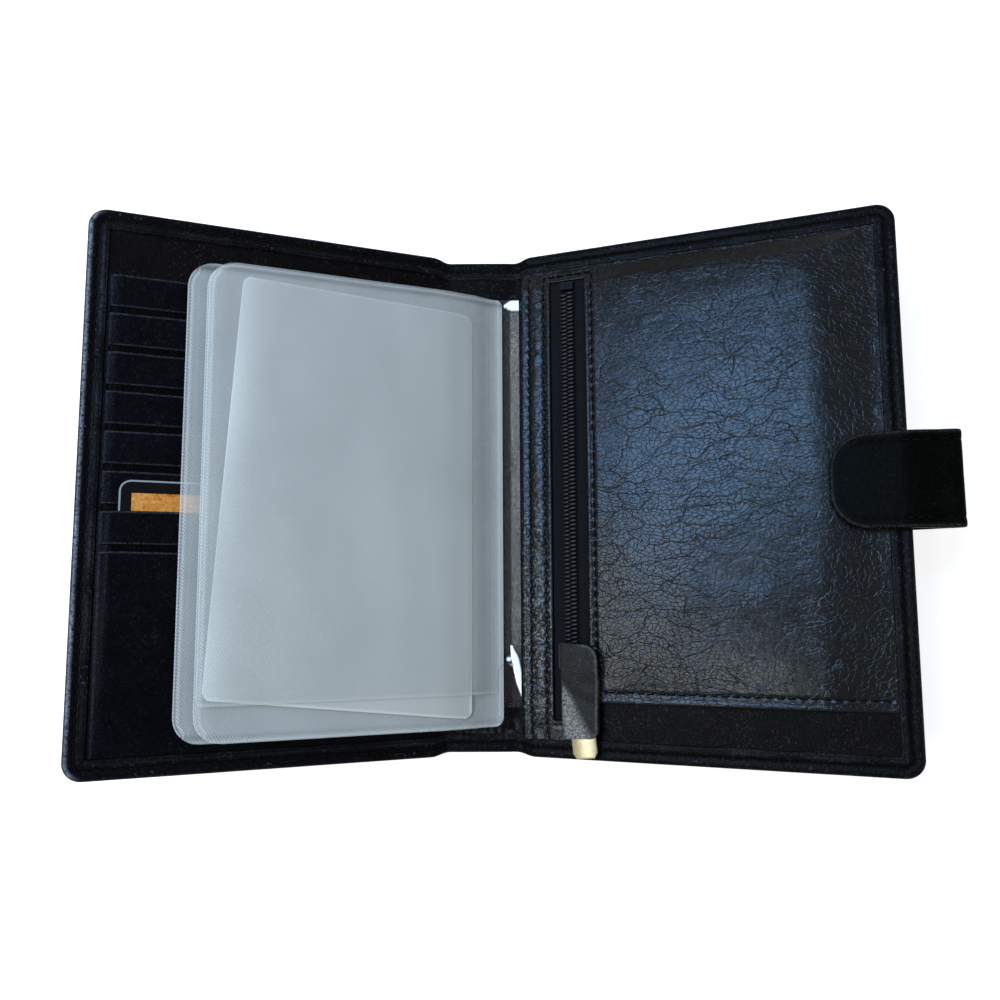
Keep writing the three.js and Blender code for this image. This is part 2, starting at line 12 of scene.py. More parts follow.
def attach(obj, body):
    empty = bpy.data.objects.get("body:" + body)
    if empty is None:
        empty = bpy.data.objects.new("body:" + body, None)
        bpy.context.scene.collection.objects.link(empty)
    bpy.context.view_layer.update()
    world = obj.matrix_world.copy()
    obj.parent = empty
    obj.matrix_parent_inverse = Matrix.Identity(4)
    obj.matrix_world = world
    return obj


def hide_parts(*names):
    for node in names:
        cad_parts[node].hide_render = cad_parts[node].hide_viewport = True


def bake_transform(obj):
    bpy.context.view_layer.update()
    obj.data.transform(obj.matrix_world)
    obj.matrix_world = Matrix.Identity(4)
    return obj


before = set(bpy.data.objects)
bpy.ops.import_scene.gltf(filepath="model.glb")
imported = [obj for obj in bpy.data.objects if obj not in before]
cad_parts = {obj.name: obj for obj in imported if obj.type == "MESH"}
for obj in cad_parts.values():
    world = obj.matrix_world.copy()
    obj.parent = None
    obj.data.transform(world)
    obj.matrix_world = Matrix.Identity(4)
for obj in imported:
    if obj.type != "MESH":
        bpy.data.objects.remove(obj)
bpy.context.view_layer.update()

# Main sizes. Lengths are in millimetres and angles in radians unless a line says otherwise.

MM = 0.001
FOLD_X, FOLD_Z = 11.5, 1.3
FOLD_SOFT = 4.2
FOLD_IN, FOLD_OUT = -3.5, 4.5
HALF, SPINE_HALF = 75.0, 73.9
LEFT = {"name": "left", "body": "left_cover", "side": -1, "raise": math.radians(22.3), "width": 101.0}
RIGHT = {"name": "right", "body": "right_cover", "side": 1, "raise": math.radians(21.4), "width": 107.0}
CORNER = 5.0
STITCH_IN, STITCH_PITCH = 2.7, 2.85
LEVELS = {"bottom": -1.3, "lining": 1.2, "border": 2.05, "spine_lining": 0.7, "spine_border": 1.3}
RIM_STOPS = np.array([0, 0.07, 0.2, 0.4, 0.65, 1.0, 1.5, 1.9, 2.15, 2.4, 2.7, 3.0, 3.25, 3.6, 4.1, 4.6,
                      4.95, 5.2, 5.38, 5.5, 5.6, 5.75, 6.1])
END_STOPS = np.array([0, 0.06, 0.18, 0.36, 0.6, 0.9])


# Numbers and noise

def ease(t):
    t = np.clip(t, 0, 1)
    return t * t * (3 - 2 * t)


def mixed(a, b, share):
    return a * (1 - share) + b * share


def groove(distance, width):
    return np.exp(-(distance / width) ** 2)


def cycle(run, pitch):
    return np.cos(2 * math.pi * run / pitch)


def unit(vectors):
    return vectors / np.linalg.norm(vectors, axis=-1, keepdims=True)


def polar(turn):
    return np.stack([np.cos(turn), np.sin(turn)], -1)


def spaced(low, high, step):
    return np.linspace(low, high, max(2, int(round((high - low) / step)) + 1))


def merged(*groups, apart=0.03):
    values = np.sort(np.concatenate([np.atleast_1d(np.asarray(g, float)) for g in groups]))
    return values[np.concatenate([[True], np.diff(values) > apart])]


def edged(low, high, stops, step):
    """Places from low to high, closer together along the stops at both ends."""
    return merged(low + stops, spaced(low + stops[-1], high - stops[-1], step), high - stops)


def grid(x, y):
    return np.meshgrid(x, y, indexing="ij")


TABLE = (97, 89)
TABLE_SHIFT = (300.3, 300.7)


def lattice(x, y, size):
    """Places counted in squares of that size, and the square that each lies in."""
    gx, gy = np.asarray(x) / size + TABLE_SHIFT[0], np.asarray(y) / size + TABLE_SHIFT[1]
    return gx, gy, np.floor(gx).astype(int), np.floor(gy).astype(int)


def noise(x, y, size, seed):
    """Smooth noise from -1 to 1 whose bumps are about size across."""
    table = np.random.default_rng(seed).uniform(-1, 1, TABLE)
    gx, gy, ix, iy = lattice(x, y, size)
    fx, fy = ease(gx - ix), ease(gy - iy)
    low, high = (mixed(*(table[(ix + dx) % TABLE[0], (iy + dy) % TABLE[1]] for dx in (0, 1)), fx)
                 for dy in (0, 1))
    return mixed(low, high, fy)


def cells(x, y, size, seed):
    """Distance to the walls between cells about size across, in cell units: 0 on a wall."""
    table = np.random.default_rng(seed).random((2, *TABLE))
    gx, gy, ix, iy = lattice(x, y, size)
    near = np.full(gx.shape, 9.0)
    second = near
    for dx in (-1, 0, 1):
        for dy in (-1, 0, 1):
            cx, cy = ix + dx, iy + dy
            px, py = table[:, cx % TABLE[0], cy % TABLE[1]]
            gap = np.hypot(gx - cx - px, gy - cy - py)
            second = np.minimum(second, np.maximum(near, gap))
            near = np.minimum(near, gap)
    return second - near


# Meshes

def mesh_object(name, points, faces, place, material, sharp=50, painted_light_and_density=None):
    """points in metres; place is in the flat millimetres that materials read, and the value after sharp is
    painted light: above zero a highlight, below zero shade, and on films also how dense the film is.
    """
    used, faces = np.unique(faces.ravel(), return_inverse=True)
    mesh = bpy.data.meshes.new(name)
    mesh.vertices.add(len(used))
    mesh.vertices.foreach_set("co", points[used].astype(np.float32).ravel())
    mesh.loops.add(faces.size)
    mesh.loops.foreach_set("vertex_index", faces.astype(np.int32).ravel())
    mesh.polygons.add(faces.size // 4)
    mesh.polygons.foreach_set("loop_start", np.arange(0, faces.size, 4, dtype=np.int32))
    attribute = mesh.attributes.new("place", "FLOAT_VECTOR", "POINT")
    attribute.data.foreach_set("vector", place[used].astype(np.float32).ravel())
    if painted_light_and_density is not None:
        light_paint = mesh.attributes.new("painted_light_and_density", "FLOAT", "POINT")
        light_paint.data.foreach_set("value", painted_light_and_density[used].astype(np.float32))
    mesh.update(calc_edges=True)
    mesh.validate()
    mesh.shade_smooth()
    mesh.set_sharp_from_angle(angle=math.radians(sharp))
    mesh.materials.append(material)
    piece = bpy.data.objects.new(name, mesh)
    bpy.context.scene.collection.objects.link(piece)
    return piece


def slab_faces(shape, mask=None):
    """Quads of a closed slab over a grid: top, bottom and walls round the kept cells."""
    rows, columns = shape
    under = rows * columns
    index = np.arange(under).reshape(shape)
    if mask is None:
        mask = np.ones((rows - 1, columns - 1), bool)
    a, b = index[:-1, :-1][mask], index[1:, :-1][mask]
    c, d = index[1:, 1:][mask], index[:-1, 1:][mask]
    faces = [np.stack([a, b, c, d], 1), np.stack([d, c, b, a], 1) + under]
    padded = np.pad(mask, 1)
    walls = ((padded[:-1, 1:-1], padded[1:, 1:-1], index[:, :-1], index[:, 1:]),
             (padded[1:-1, :-1], padded[1:-1, 1:], index[1:, :], index[:-1, :]))
    for before, after, start, end in walls:
        for wall, near, far in ((after & ~before, start, end), (before & ~after, end, start)):
            near, far = near[wall], far[wall]
            faces.append(np.stack([near, far, far + under, near + under], 1))
    return np.concatenate(faces)


def slab(name, x, y, top, bottom, bend, look, mask=None, flip=False, painted_light_and_density=None, marks=None):
    """A closed sheet over grid points x, y between two heights, put in place by bend.

    marks are two values that the material reads in place of the heights."""
    place = np.concatenate([np.stack(np.broadcast_arrays(x, y, h), -1).reshape(-1, 3) for h in (top, bottom)])
    points = bend(*place.T) * MM
    if marks:
        place[:, 2] = np.concatenate([np.broadcast_to(mark, x.shape).ravel() for mark in marks])
    faces = slab_faces(x.shape, mask)
    if flip:
        faces = faces[:, ::-1]
    if painted_light_and_density is not None:
        painted_light_and_density = np.tile(np.clip(painted_light_and_density, -1, 1).ravel(), 2)
    return mesh_object(name, points, faces, place, MAT[look], painted_light_and_density=painted_light_and_density)


def strewn(name, template, origins, axes, place, look):
    """Copies of a small closed template mesh, one for each origin with its three axes."""
    points, faces = template
    spots = origins[:, None, :] + np.einsum("pk,nkj->npj", points, axes)
    shift = (np.arange(len(origins)) * len(points))[:, None, None]
    local = place[:, None, :] + points[None]
    return mesh_object(name, spots.reshape(-1, 3) * MM, (faces[None] + shift).reshape(-1, 4),
                       local.reshape(-1, 3), MAT[look], 60)


def capsule(half, across, up, sides=8, flare=0.0):
    """A rounded thread or bar along X: points and quads. flare widens its +X end."""
    stops = np.array([-1, -0.97, -0.86, -0.62, 0, 0.62, 0.86, 0.97, 1])
    girth = np.array([0.02, 0.45, 0.8, 1, 1, 1, 0.8, 0.45, 0.02])
    wide = (girth * (1 + flare * (stops + 1) / 2))[:, None]
    ring = polar(np.arange(sides) * 2 * math.pi / sides)
    x = np.repeat(stops[:, None] * half, sides, 1)
    points = np.stack([x, wide * ring[:, 0] * across, wide * ring[:, 1] * up], -1).reshape(-1, 3)
    index = np.arange(x.size).reshape(x.shape)
    after = np.roll(index, -1, 1)
    quads = np.stack([after[:-1], after[1:], index[1:], index[:-1]], -1).reshape(-1, 4)
    caps = [[end[k + 2], end[k + 1], end[k], end[0]][::order]
            for end, order in ((index[0], 1), (index[-1], -1))
            for k in range(1, sides - 2, 2)]
    return points, np.concatenate([quads, np.array(caps)])


def settle(piece, nodes=(), body=None):
    """Hides the CAD nodes that a piece stands for and, if it is rigid, attaches it to its body."""
    if nodes:
        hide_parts(*nodes)
    if body:
        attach(piece, body)
    return piece


def rim_round(d, radius):
    """How far a rounded edge falls away at distance d from the rim."""
    inside = np.clip(radius - d, 0, radius)
    return radius - np.sqrt(radius ** 2 - inside ** 2)


def round_box(x, y, near, far, low, high, radii):
    """Rounds a grid's corners by pushing points inward; radii run near-low, far-low, far-high, near-high."""
    corners = ((near, low, 1, 1), (far, low, -1, 1), (far, high, -1, -1), (near, high, 1, -1))
    for (corner_x, corner_y, in_x, in_y), r in zip(corners, radii):
        if r <= 0:
            continue
        a, b = np.abs(x - corner_x), np.abs(y - corner_y)
        d = np.minimum(a, b)
        inside = (a < r) & (b < r)
        ring = np.maximum(r - d, 1e-6)
        turn = math.pi / 4 * (1 - np.clip((np.maximum(a, b) - d) / ring, 0, 1))
        to_x = np.where(a < b, np.cos(turn), np.sin(turn))
        to_y = np.where(a < b, np.sin(turn), np.cos(turn))
        x = np.where(inside, corner_x + in_x * (r - ring * to_x), x)
        y = np.where(inside, corner_y + in_y * (r - ring * to_y), y)
    return x, y


# Bending flat coordinates into the row frame. s runs outward from a fold, below zero across the spine.

def rigid_cover(cover):
    c, n = math.cos(cover["raise"]), math.sin(cover["raise"])

    def bend(s, y, h):
        return np.stack([cover["side"] * (FOLD_X + s * c - h * n), y, FOLD_Z + s * n + h * c], -1)
    return bend


def cover_bend(cover):
    raised = rigid_cover(cover)

    def bend(s, y, h):
        flat = np.stack([cover["side"] * (FOLD_X + s), y, FOLD_Z + h], -1)
        return mixed(flat, raised(s, y, h), ease((s + FOLD_SOFT) / (2 * FOLD_SOFT))[:, None])
    return bend


left_flat, right_flat = rigid_cover(LEFT), rigid_cover(RIGHT)


def fold_blend(piece, cover):
    """Bakes the piece's placement into its mesh."""
    start = rigid_cover(cover)(FOLD_SOFT, 0.0, 0.0) * MM
    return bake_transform(piece)


# Materials. Attribute "place" is in millimetres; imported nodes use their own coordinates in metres.

BLACK = (0.0, 0.0, 0.0)


class Nodes:
    """Builds the shader nodes of a material or of the world."""

    def __init__(self, owner, shader):
        owner.use_nodes = True
        self.owner = owner
        self.tree = owner.node_tree
        self.shader = self.tree.nodes[shader]

    def add(self, kind, inputs=None, **settings):
        node = self.tree.nodes.new(kind)
        for key, value in settings.items():
            setattr(node, key, value)
        for key, value in (inputs or {}).items():
            self.put(node.inputs[key], value)
        return node

    def put(self, socket, value):
        if isinstance(value, bpy.types.NodeSocket):
            self.tree.links.new(value, socket)
        else:
            socket.default_value = value

    def set(self, **values):
        for key, value in values.items():
            self.put(self.shader.inputs[key.replace("_", " ")], value)

    def mapped(self, vector, stretch, turn=0.0):
        return self.add("ShaderNodeMapping", {"Vector": vector, "Scale": stretch,
                                              "Rotation": (0, 0, turn)}).outputs[0]

    def place(self, packed=False, stretch=(1, 1, 1), turn=0.0):
        if packed:
            source = self.add("ShaderNodeTexCoord").outputs["Object"]
            return self.mapped(source, tuple(v / MM for v in stretch), turn)
        source = self.add("ShaderNodeAttribute", attribute_name="place").outputs["Vector"]
        return self.mapped(source, stretch, turn)

    # the per-point painted light: highlight above zero, shade below
    def painted_light_and_density(self):
        return self.add("ShaderNodeAttribute", attribute_name="painted_light_and_density").outputs["Fac"]

    def warped(self, vector, scale, reach):
        """Shifts places by soft noise of up to reach millimetres."""
        cloud = self.add("ShaderNodeTexNoise", {"Vector": vector, "Scale": scale,
                                               "Detail": 2.0}).outputs["Color"]
        inputs = {0: cloud, 1: (reach, reach, 0.0), 2: vector}
        return self.add("ShaderNodeVectorMath", inputs, operation="MULTIPLY_ADD").outputs[0]

    def noise(self, vector, scale, detail=3.0, rough=0.55, distortion=0.0):
        return self.add("ShaderNodeTexNoise", {"Vector": vector, "Scale": scale, "Detail": detail,
                                               "Roughness": rough, "Distortion": distortion}).outputs["Fac"]

    def voronoi(self, vector, scale):
        return self.add("ShaderNodeTexVoronoi", {"Vector": vector, "Scale": scale},
                        feature="DISTANCE_TO_EDGE").outputs["Distance"]

    def wave(self, turn, scale, distortion, detail=2.0, detail_scale=1.0):
        return self.add("ShaderNodeTexWave", {"Vector": self.place(turn=turn), "Scale": scale,
                                              "Distortion": distortion, "Detail": detail,
                                              "Detail Scale": detail_scale}).outputs["Fac"]

    def math(self, operation, a, b=0.0, c=0.0):
        return self.add("ShaderNodeMath", {0: a, 1: b, 2: c}, operation=operation).outputs[0]

    def times(self, a, b):
        return self.math("MULTIPLY", a, b)

    def plus(self, a, b):
        return self.math("ADD", a, b)

    def span(self, value, low, high, to_low=0.0, to_high=1.0):
        return self.add("ShaderNodeMapRange", {"Value": value, "From Min": low, "From Max": high,
                                               "To Min": to_low, "To Max": to_high}).outputs[0]

    def colours(self, factor, dark, light):
        """Mixes two colours, each either three numbers or a socket."""
        dark, light = ((*colour, 1) if isinstance(colour, tuple) else colour for colour in (dark, light))
        return self.add("ShaderNodeMix", {0: factor, 6: dark, 7: light}, data_type="RGBA").outputs[2]

    def seen(self):
        """1 where a camera, glossy or transmission ray looks, else 0."""
        path = self.add("ShaderNodeLightPath").outputs
        return self.math("MAXIMUM", self.math("MAXIMUM", path["Is Camera Ray"], path["Is Glossy Ray"]),
                         path["Is Transmission Ray"])

    def bump(self, height, distance, strength=1.0):
        """distance is the real depth in millimetres."""
        node = self.add("ShaderNodeBump", {"Height": height, "Strength": strength, "Distance": distance * MM})
        self.put(self.shader.inputs["Normal"], node.outputs[0])


def paint(name):
    return Nodes(bpy.data.materials.new(name), "Principled BSDF")


def leather(name, dark, light, rough, specular, grain, depth, light_paint, specks):
    """Pebbled leather. Above zero the per-point value paints a highlight on edges and ridges, and below zero
    it paints shade into openings and grooves.
    """
    n = paint(name)
    at = n.place()
    pebble = n.span(n.voronoi(n.warped(at, 0.5, 1.6), grain), 0.0, 0.26)
    patches = n.noise(at, 0.12, 3)
    n.bump(n.plus(n.times(pebble, n.span(patches, 0.3, 0.7, 0.35, 0.8)),
                  n.times(n.noise(at, grain * 3.4, 4, 0.65), 0.35)), depth)
    tone = n.plus(n.times(patches, 0.6), n.times(pebble, 0.4))
    # below zero the colour is taken towards black: painted shade
    shaded = n.colours(n.times(n.painted_light_and_density(), -1.0), n.colours(n.span(tone, 0.25, 0.85), dark, light), BLACK)
    # painted highlights: streaks where the value is above zero, and bright specks that stand in for glints on
    # the grain
    streaks = n.span(n.noise(at, 1.7, 3), 0.3, 0.65)
    dots = n.times(n.span(n.noise(at, 1.0, 3, 0.75), 0.58, 0.67),
                   n.span(n.noise(at, 0.10, 2), 0.36, 0.66, 0.15 * specks, specks))
    painted_highlight = n.math("MAXIMUM", n.times(n.painted_light_and_density(), streaks), n.times(dots, n.span(n.painted_light_and_density(), -0.4, 0.0)))
    n.set(Base_Color=n.colours(painted_highlight, shaded, light_paint), Roughness=n.span(n.noise(at, 0.8, 3), 0.3, 0.7, *rough),
          Specular_IOR_Level=specular)
    return n.owner


def gloss_leather():
    """Polished leather: flat islands between fine cracks, long level creases, and a cool shine."""
    n = paint("gloss_leather")
    at = n.place()
    drift = n.warped(at, 0.07, 9.0)
    islands = n.span(n.voronoi(n.mapped(n.warped(drift, 0.6, 0.55), (0.62, 1.05, 0.2)), 1.0), 0.0, 0.075)
    crease = n.span(n.voronoi(n.mapped(n.warped(drift, 0.35, 2.2), (0.085, 0.22, 0.1)), 1.0), 0.0, 0.03)
    patches = n.span(n.noise(at, 0.055, 2), 0.38, 0.62)
    height = n.plus(n.times(islands, n.span(patches, 0.0, 1.0, 0.34, 0.55)),
                    n.times(crease, n.span(patches, 0.0, 1.0, 0.5, 0.9)))
    n.bump(n.plus(height, n.times(n.noise(n.mapped(at, (0.8, 1.4, 0.3)), 1.1, 4, 0.7), 0.62)), 0.06)
    brown = n.colours(n.noise(at, 0.05, 2), (0.0008, 0.0008, 0.0010), (0.0040, 0.0028, 0.0022))
    # below zero the colour goes black: painted shade in the stitched rows
    shaded = n.colours(n.times(n.painted_light_and_density(), -1.0), brown, BLACK)
    # above zero a pale grey painted highlight on the strip's folds
    silver_highlight = n.times(n.painted_light_and_density(), n.span(n.noise(at, 0.95, 4, 0.8), 0.52, 0.66))
    # the cracks between the islands are painted near-black: painted shade
    n.set(Base_Color=n.colours(silver_highlight, n.colours(islands, (0.0002, 0.0002, 0.0003), shaded),
                               (0.24, 0.235, 0.20)),
          Roughness=n.span(n.noise(at, 0.7, 3), 0.3, 0.7, 0.14, 0.20), Specular_IOR_Level=0.138,
          Specular_Tint=(0.84, 0.93, 1.0, 1))
    return n.owner


def plain(name, dark, light, rough, specular, metal=0.0, packed=False):
    """A fine-textured hard material with slight mottling and tiny scratches."""
    n = paint(name)
    spots = n.noise(n.place(packed), 1.1, 4)
    scratch = n.noise(n.place(packed, (0.25, 3.0, 1.0), 0.5), 2.5, 5, 0.7)
    n.bump(n.plus(n.times(spots, 0.4), n.times(scratch, 0.6)), 0.008)
    n.set(Base_Color=n.colours(spots, dark, light), Roughness=n.span(scratch, 0.3, 0.7, *rough),
          Specular_IOR_Level=specular, Metallic=metal)
    return n.owner


def thread_material():
    n = paint("thread")
    ply = n.wave(0.7, 1.3, 0.6)
    n.bump(ply, 0.05)
    n.set(Base_Color=n.colours(n.noise(n.place(), 2.0), (0.0008, 0.0008, 0.0009), (0.003, 0.003, 0.0034)),
          Roughness=n.span(ply, 0, 1, 0.42, 0.6), Specular_IOR_Level=0.035)
    return n.owner


def film_material(name, alpha, colour, rough, folded=False):
    """Frosted film with a fine diagonal emboss. The per-point value marks denser places, twisted welds or one
    soft fold, whose paler colour is a painted highlight; below zero the film is thinner.
    """
    n = paint(name)
    at = n.place()
    stripes = n.wave(math.radians(30), 0.42, 0.3, 1.0)
    cloud = n.noise(n.place(stretch=(1, 0.35, 1)), 0.05, 3)
    fine = n.noise(at, 1.6, 4, 0.6)
    emboss = n.times(stripes, n.span(n.noise(at, 0.045, 2), 0.3, 0.6, 0.25, 1.0))
    n.bump(n.plus(n.times(emboss, 0.9), n.times(fine, 0.25)), 0.05, 0.6)
    body = n.colours(n.plus(n.times(cloud, 0.6), n.times(emboss, 0.55)),
                     tuple(0.84 * c for c in colour), tuple(min(1.0, 1.08 * c) for c in colour))
    if folded:
        grip = n.span(stripes, 0.0, 1.0, 0.85, 1.0)
    else:
        grip = n.span(n.wave(math.radians(42), 0.5, 0.7, 2.0, 1.5), 0.2, 0.8, 0.2, 0.9)
    # paler and denser where the value is above zero: a painted highlight on welds and on the sleeve's fold
    pale = n.times(n.painted_light_and_density(), grip)
    n.set(Base_Color=n.colours(pale, body, (0.90, 0.91, 0.84)),
          Roughness=n.span(fine, 0.3, 0.7, rough - 0.05, rough + 0.07), Specular_IOR_Level=0.3,
          Alpha=n.times(n.span(cloud, 0.2, 0.8, alpha * 0.9, alpha * 1.1),
                        n.math("MULTIPLY_ADD", pale, 1.5, 1.0)))
    return n.owner


def flap_material():
    """Glossy clear film. Above zero the per-point value paints a warm grey reflection over the leather, and
    below zero a bright painted glint.
    """
    n = paint("flap_film")
    at = n.place()
    grain = n.noise(at, 1.5, 4, 0.75)
    reflection_band = n.math("MAXIMUM", n.painted_light_and_density(), 0.0)
    painted_glint = n.math("MAXIMUM", n.times(n.painted_light_and_density(), -1.0), 0.0)
    n.bump(n.times(grain, reflection_band), 0.06)
    # the painted reflection is darker and redder towards Y -50
    low = n.span(n.add("ShaderNodeSeparateXYZ", {0: at}).outputs["Y"], -50.0, -42.0)
    light = n.colours(low, (0.13, 0.085, 0.085), (0.50, 0.47, 0.40))
    body = n.colours(n.span(grain, 0.35, 0.65), (0.03, 0.025, 0.025), light)
    n.set(Base_Color=n.colours(painted_glint, body, (0.98, 0.98, 0.96)),
          Roughness=n.span(grain, 0.3, 0.7, 0.07, 0.12), Specular_IOR_Level=0.5,
          Alpha=n.math("MULTIPLY_ADD", painted_glint, 0.95, n.math("MULTIPLY_ADD", reflection_band, 0.36, 0.05)))
    return n.owner


def tape_material():
    n = paint("zip_tape_weave")
    weave = n.wave(0.35, 1.6, 0.4)
    yarn = n.noise(n.place(stretch=(1.0, 2.6, 1.0), turn=0.6), 2.4, 4, 0.7)
    n.bump(n.plus(n.times(weave, 0.5), n.times(yarn, 0.6)), 0.07)
    n.set(Base_Color=n.colours(n.span(yarn, 0.35, 0.65), (0.0004, 0.0004, 0.0005), (0.0070, 0.0075, 0.0085)),
          Roughness=n.span(weave, 0, 1, 0.4, 0.6), Specular_IOR_Level=0.05)
    return n.owner


def card_material():
    """Dark card with a lighter line near its rim and a mottled warm field.

    Places are in the card's own frame, with the distance from the rim in place of the height."""
    n = paint("card_face")
    at = n.place()
    x, y, rim = n.add("ShaderNodeSeparateXYZ", {0: at}).outputs
    warm = n.noise(at, 0.5, 5, 0.7, 1.2)
    field = n.colours(n.span(warm, 0.35, 0.65), (0.40, 0.10, 0.008), (0.62, 0.30, 0.07))
    inside = n.times(n.times(n.math("LESS_THAN", x, 39.5), n.math("GREATER_THAN", x, -24.0)),
                     n.times(n.math("LESS_THAN", y, 23.4), n.math("GREATER_THAN", y, -16.0)))
    line = n.math("LESS_THAN", n.math("ABSOLUTE", n.math("SUBTRACT", rim, 0.42)), 0.22)
    body = n.colours(n.noise(at, 0.4, 3), (0.0010, 0.0012, 0.0012), (0.0030, 0.0032, 0.0034))
    n.bump(n.noise(at, 3.0, 3), 0.004)
    n.set(Base_Color=n.colours(inside, n.colours(line, body, (0.23, 0.245, 0.24)), field),
          Roughness=n.span(warm, 0.3, 0.7, 0.3, 0.4), Specular_IOR_Level=0.05)
    return n.owner


def build_materials():
    """Every material, by the short name that the pieces ask for."""
    film = (0.60, 0.60, 0.54)
    return {
        "outer": leather("outer_leather", (0.0003, 0.0003, 0.0004), (0.0030, 0.0030, 0.0035),
                         (0.27, 0.40), 0.028, 0.95, 0.07, (0.34, 0.36, 0.40), 0.12),
        "slots": leather("slot_leather", (0.0003, 0.0004, 0.0008), (0.0018, 0.0020, 0.0034),
                         (0.26, 0.42), 0.024, 1.15, 0.07, (0.10, 0.11, 0.14), 0.08),
        "lining": leather("lining_leather", (0.0006, 0.0005, 0.0005), (0.0040, 0.0032, 0.0030), (0.30, 0.46),
                          0.026, 1.2, 0.06, (0.12, 0.11, 0.11), 0.2),
        "gloss": gloss_leather(),
        "pull": leather("pull_leather", (0.006, 0.0058, 0.005), (0.017, 0.016, 0.014), (0.32, 0.46), 0.08,
                        1.6, 0.08, (0.27, 0.26, 0.22), 0.12),
        "strap": leather("strap_leather", (0.0004, 0.0006, 0.0003), (0.0018, 0.0022, 0.0014),
                         (0.30, 0.44), 0.014, 1.3, 0.04, (0.06, 0.06, 0.05), 0.08),
        "thread": thread_material(),
        "film": film_material("clear_film", 0.29, film, 0.42),
        "half_film": film_material("front_film", 0.21, film, 0.42),
        "sleeve": film_material("sleeve_film", 0.42, (0.685, 0.665, 0.575), 0.36, folded=True),
        "flap": flap_material(),
        "tape": tape_material(),
        "coil": plain("coil_nylon", (0.0025, 0.0025, 0.003), (0.006, 0.006, 0.007), (0.24, 0.36), 0.16),
        "black_metal": plain("black_metal", (0.003, 0.003, 0.0034), (0.009, 0.009, 0.010),
                             (0.25, 0.4), 0.5, 1.0, packed=True),
        "pale_metal": plain("pale_metal", (0.17, 0.145, 0.085), (0.38, 0.335, 0.225), (0.30, 0.45), 0.5, 1.0),
        "steel": plain("magnet_steel", (0.25, 0.26, 0.27), (0.35, 0.36, 0.37),
                       (0.3, 0.45), 0.5, 1.0, packed=True),
        "board": plain("grey_board", (0.13, 0.115, 0.09), (0.2, 0.18, 0.15), (0.85, 0.95), 0.2, packed=True),
        "cloth": plain("pocket_cloth", (0.006, 0.006, 0.0065), (0.014, 0.014, 0.015), (0.9, 1.0), 0.1),
        "card": card_material(),
    }


MAT = build_materials()


# Paths and stitches

def round_end(near, far, half, radius, count):
    """A path out along one side, round the two corners of the far end, and back along the other side."""
    turn = np.linspace(0, math.pi / 2, count)
    return np.concatenate([
        [[near, half]],
        np.stack([far - radius + radius * np.sin(turn), half - radius + radius * np.cos(turn)], 1),
        np.stack([far - radius + radius * np.cos(turn), -half + radius - radius * np.sin(turn)], 1),
        [[near, -half]]])


def measured(path):
    """A path without repeated points, and how far along it each point lies."""
    path = np.asarray(path, float)
    path = path[np.concatenate([[True], np.hypot(*np.diff(path, axis=0).T) > 1e-6])]
    return path, np.concatenate([[0], np.cumsum(np.hypot(*np.diff(path, axis=0).T))])


def read_off(at, run, values):
    """Both columns of values, read at places along a run."""
    return np.stack([np.interp(at, run, column) for column in values.T], 1)


def stations(path, pitch, start):
    """Evenly spaced points along a path, with the heading at each."""
    path, run = measured(path)
    room = run[-1] - 2 * start
    count = int(room / pitch)
    at = start + (room - count * pitch) / 2 + (np.arange(count) + 0.5) * pitch
    way = read_off(at + 0.2, run, path) - read_off(at - 0.2, run, path)
    return read_off(at, run, path), np.arctan2(way[:, 1], way[:, 0])


def sew(name, bend, path, height, pitch=STITCH_PITCH, length=2.1, thick=0.27, start=0.0, seed=5,
        underside=False):
    """Stitches along a flat path, each laid at the height given or worked out there, and bent into place."""
    here, heading = stations(path, pitch, start)
    wander = 0.05 * np.random.default_rng(seed).normal(0, 1, (3, len(here)))
    here = here + wander[1:].T
    step = polar(heading + wander[0]) * length / 2
    h = np.broadcast_to(height(*here.T) if callable(height) else height, len(here))
    origin = bend(*here.T, h)
    along = unit(bend(*(here + step).T, h) - bend(*(here - step).T, h))
    up = unit(bend(*here.T, h + 1) - origin) * (-1 if underside else 1)
    axes = np.stack([along, np.cross(up, along), up], 1)
    place = np.stack([*here.T, h], 1)
    return settle(strewn(name, capsule(length / 2, thick, thick * 0.85),
                         origin, axes, place, "thread"))


# Covers and spine

def spine_share(s):
    """The spine is a little shorter than the covers: what part of a cover's height is left at s."""
    return (HALF - (HALF - SPINE_HALF) * ease((FOLD_OUT - s) / 6.5)) / HALF


def level(s, name):
    """A level of the cover that steps down to the spine's own across the fold."""
    return mixed(LEVELS["spine_" + name], LEVELS[name], ease((s - FOLD_IN) / 5.5))


def fold_dip(s):
    return groove(s, 1.9)


def border_level(s):
    return level(s, "border") - 0.35 * fold_dip(s)


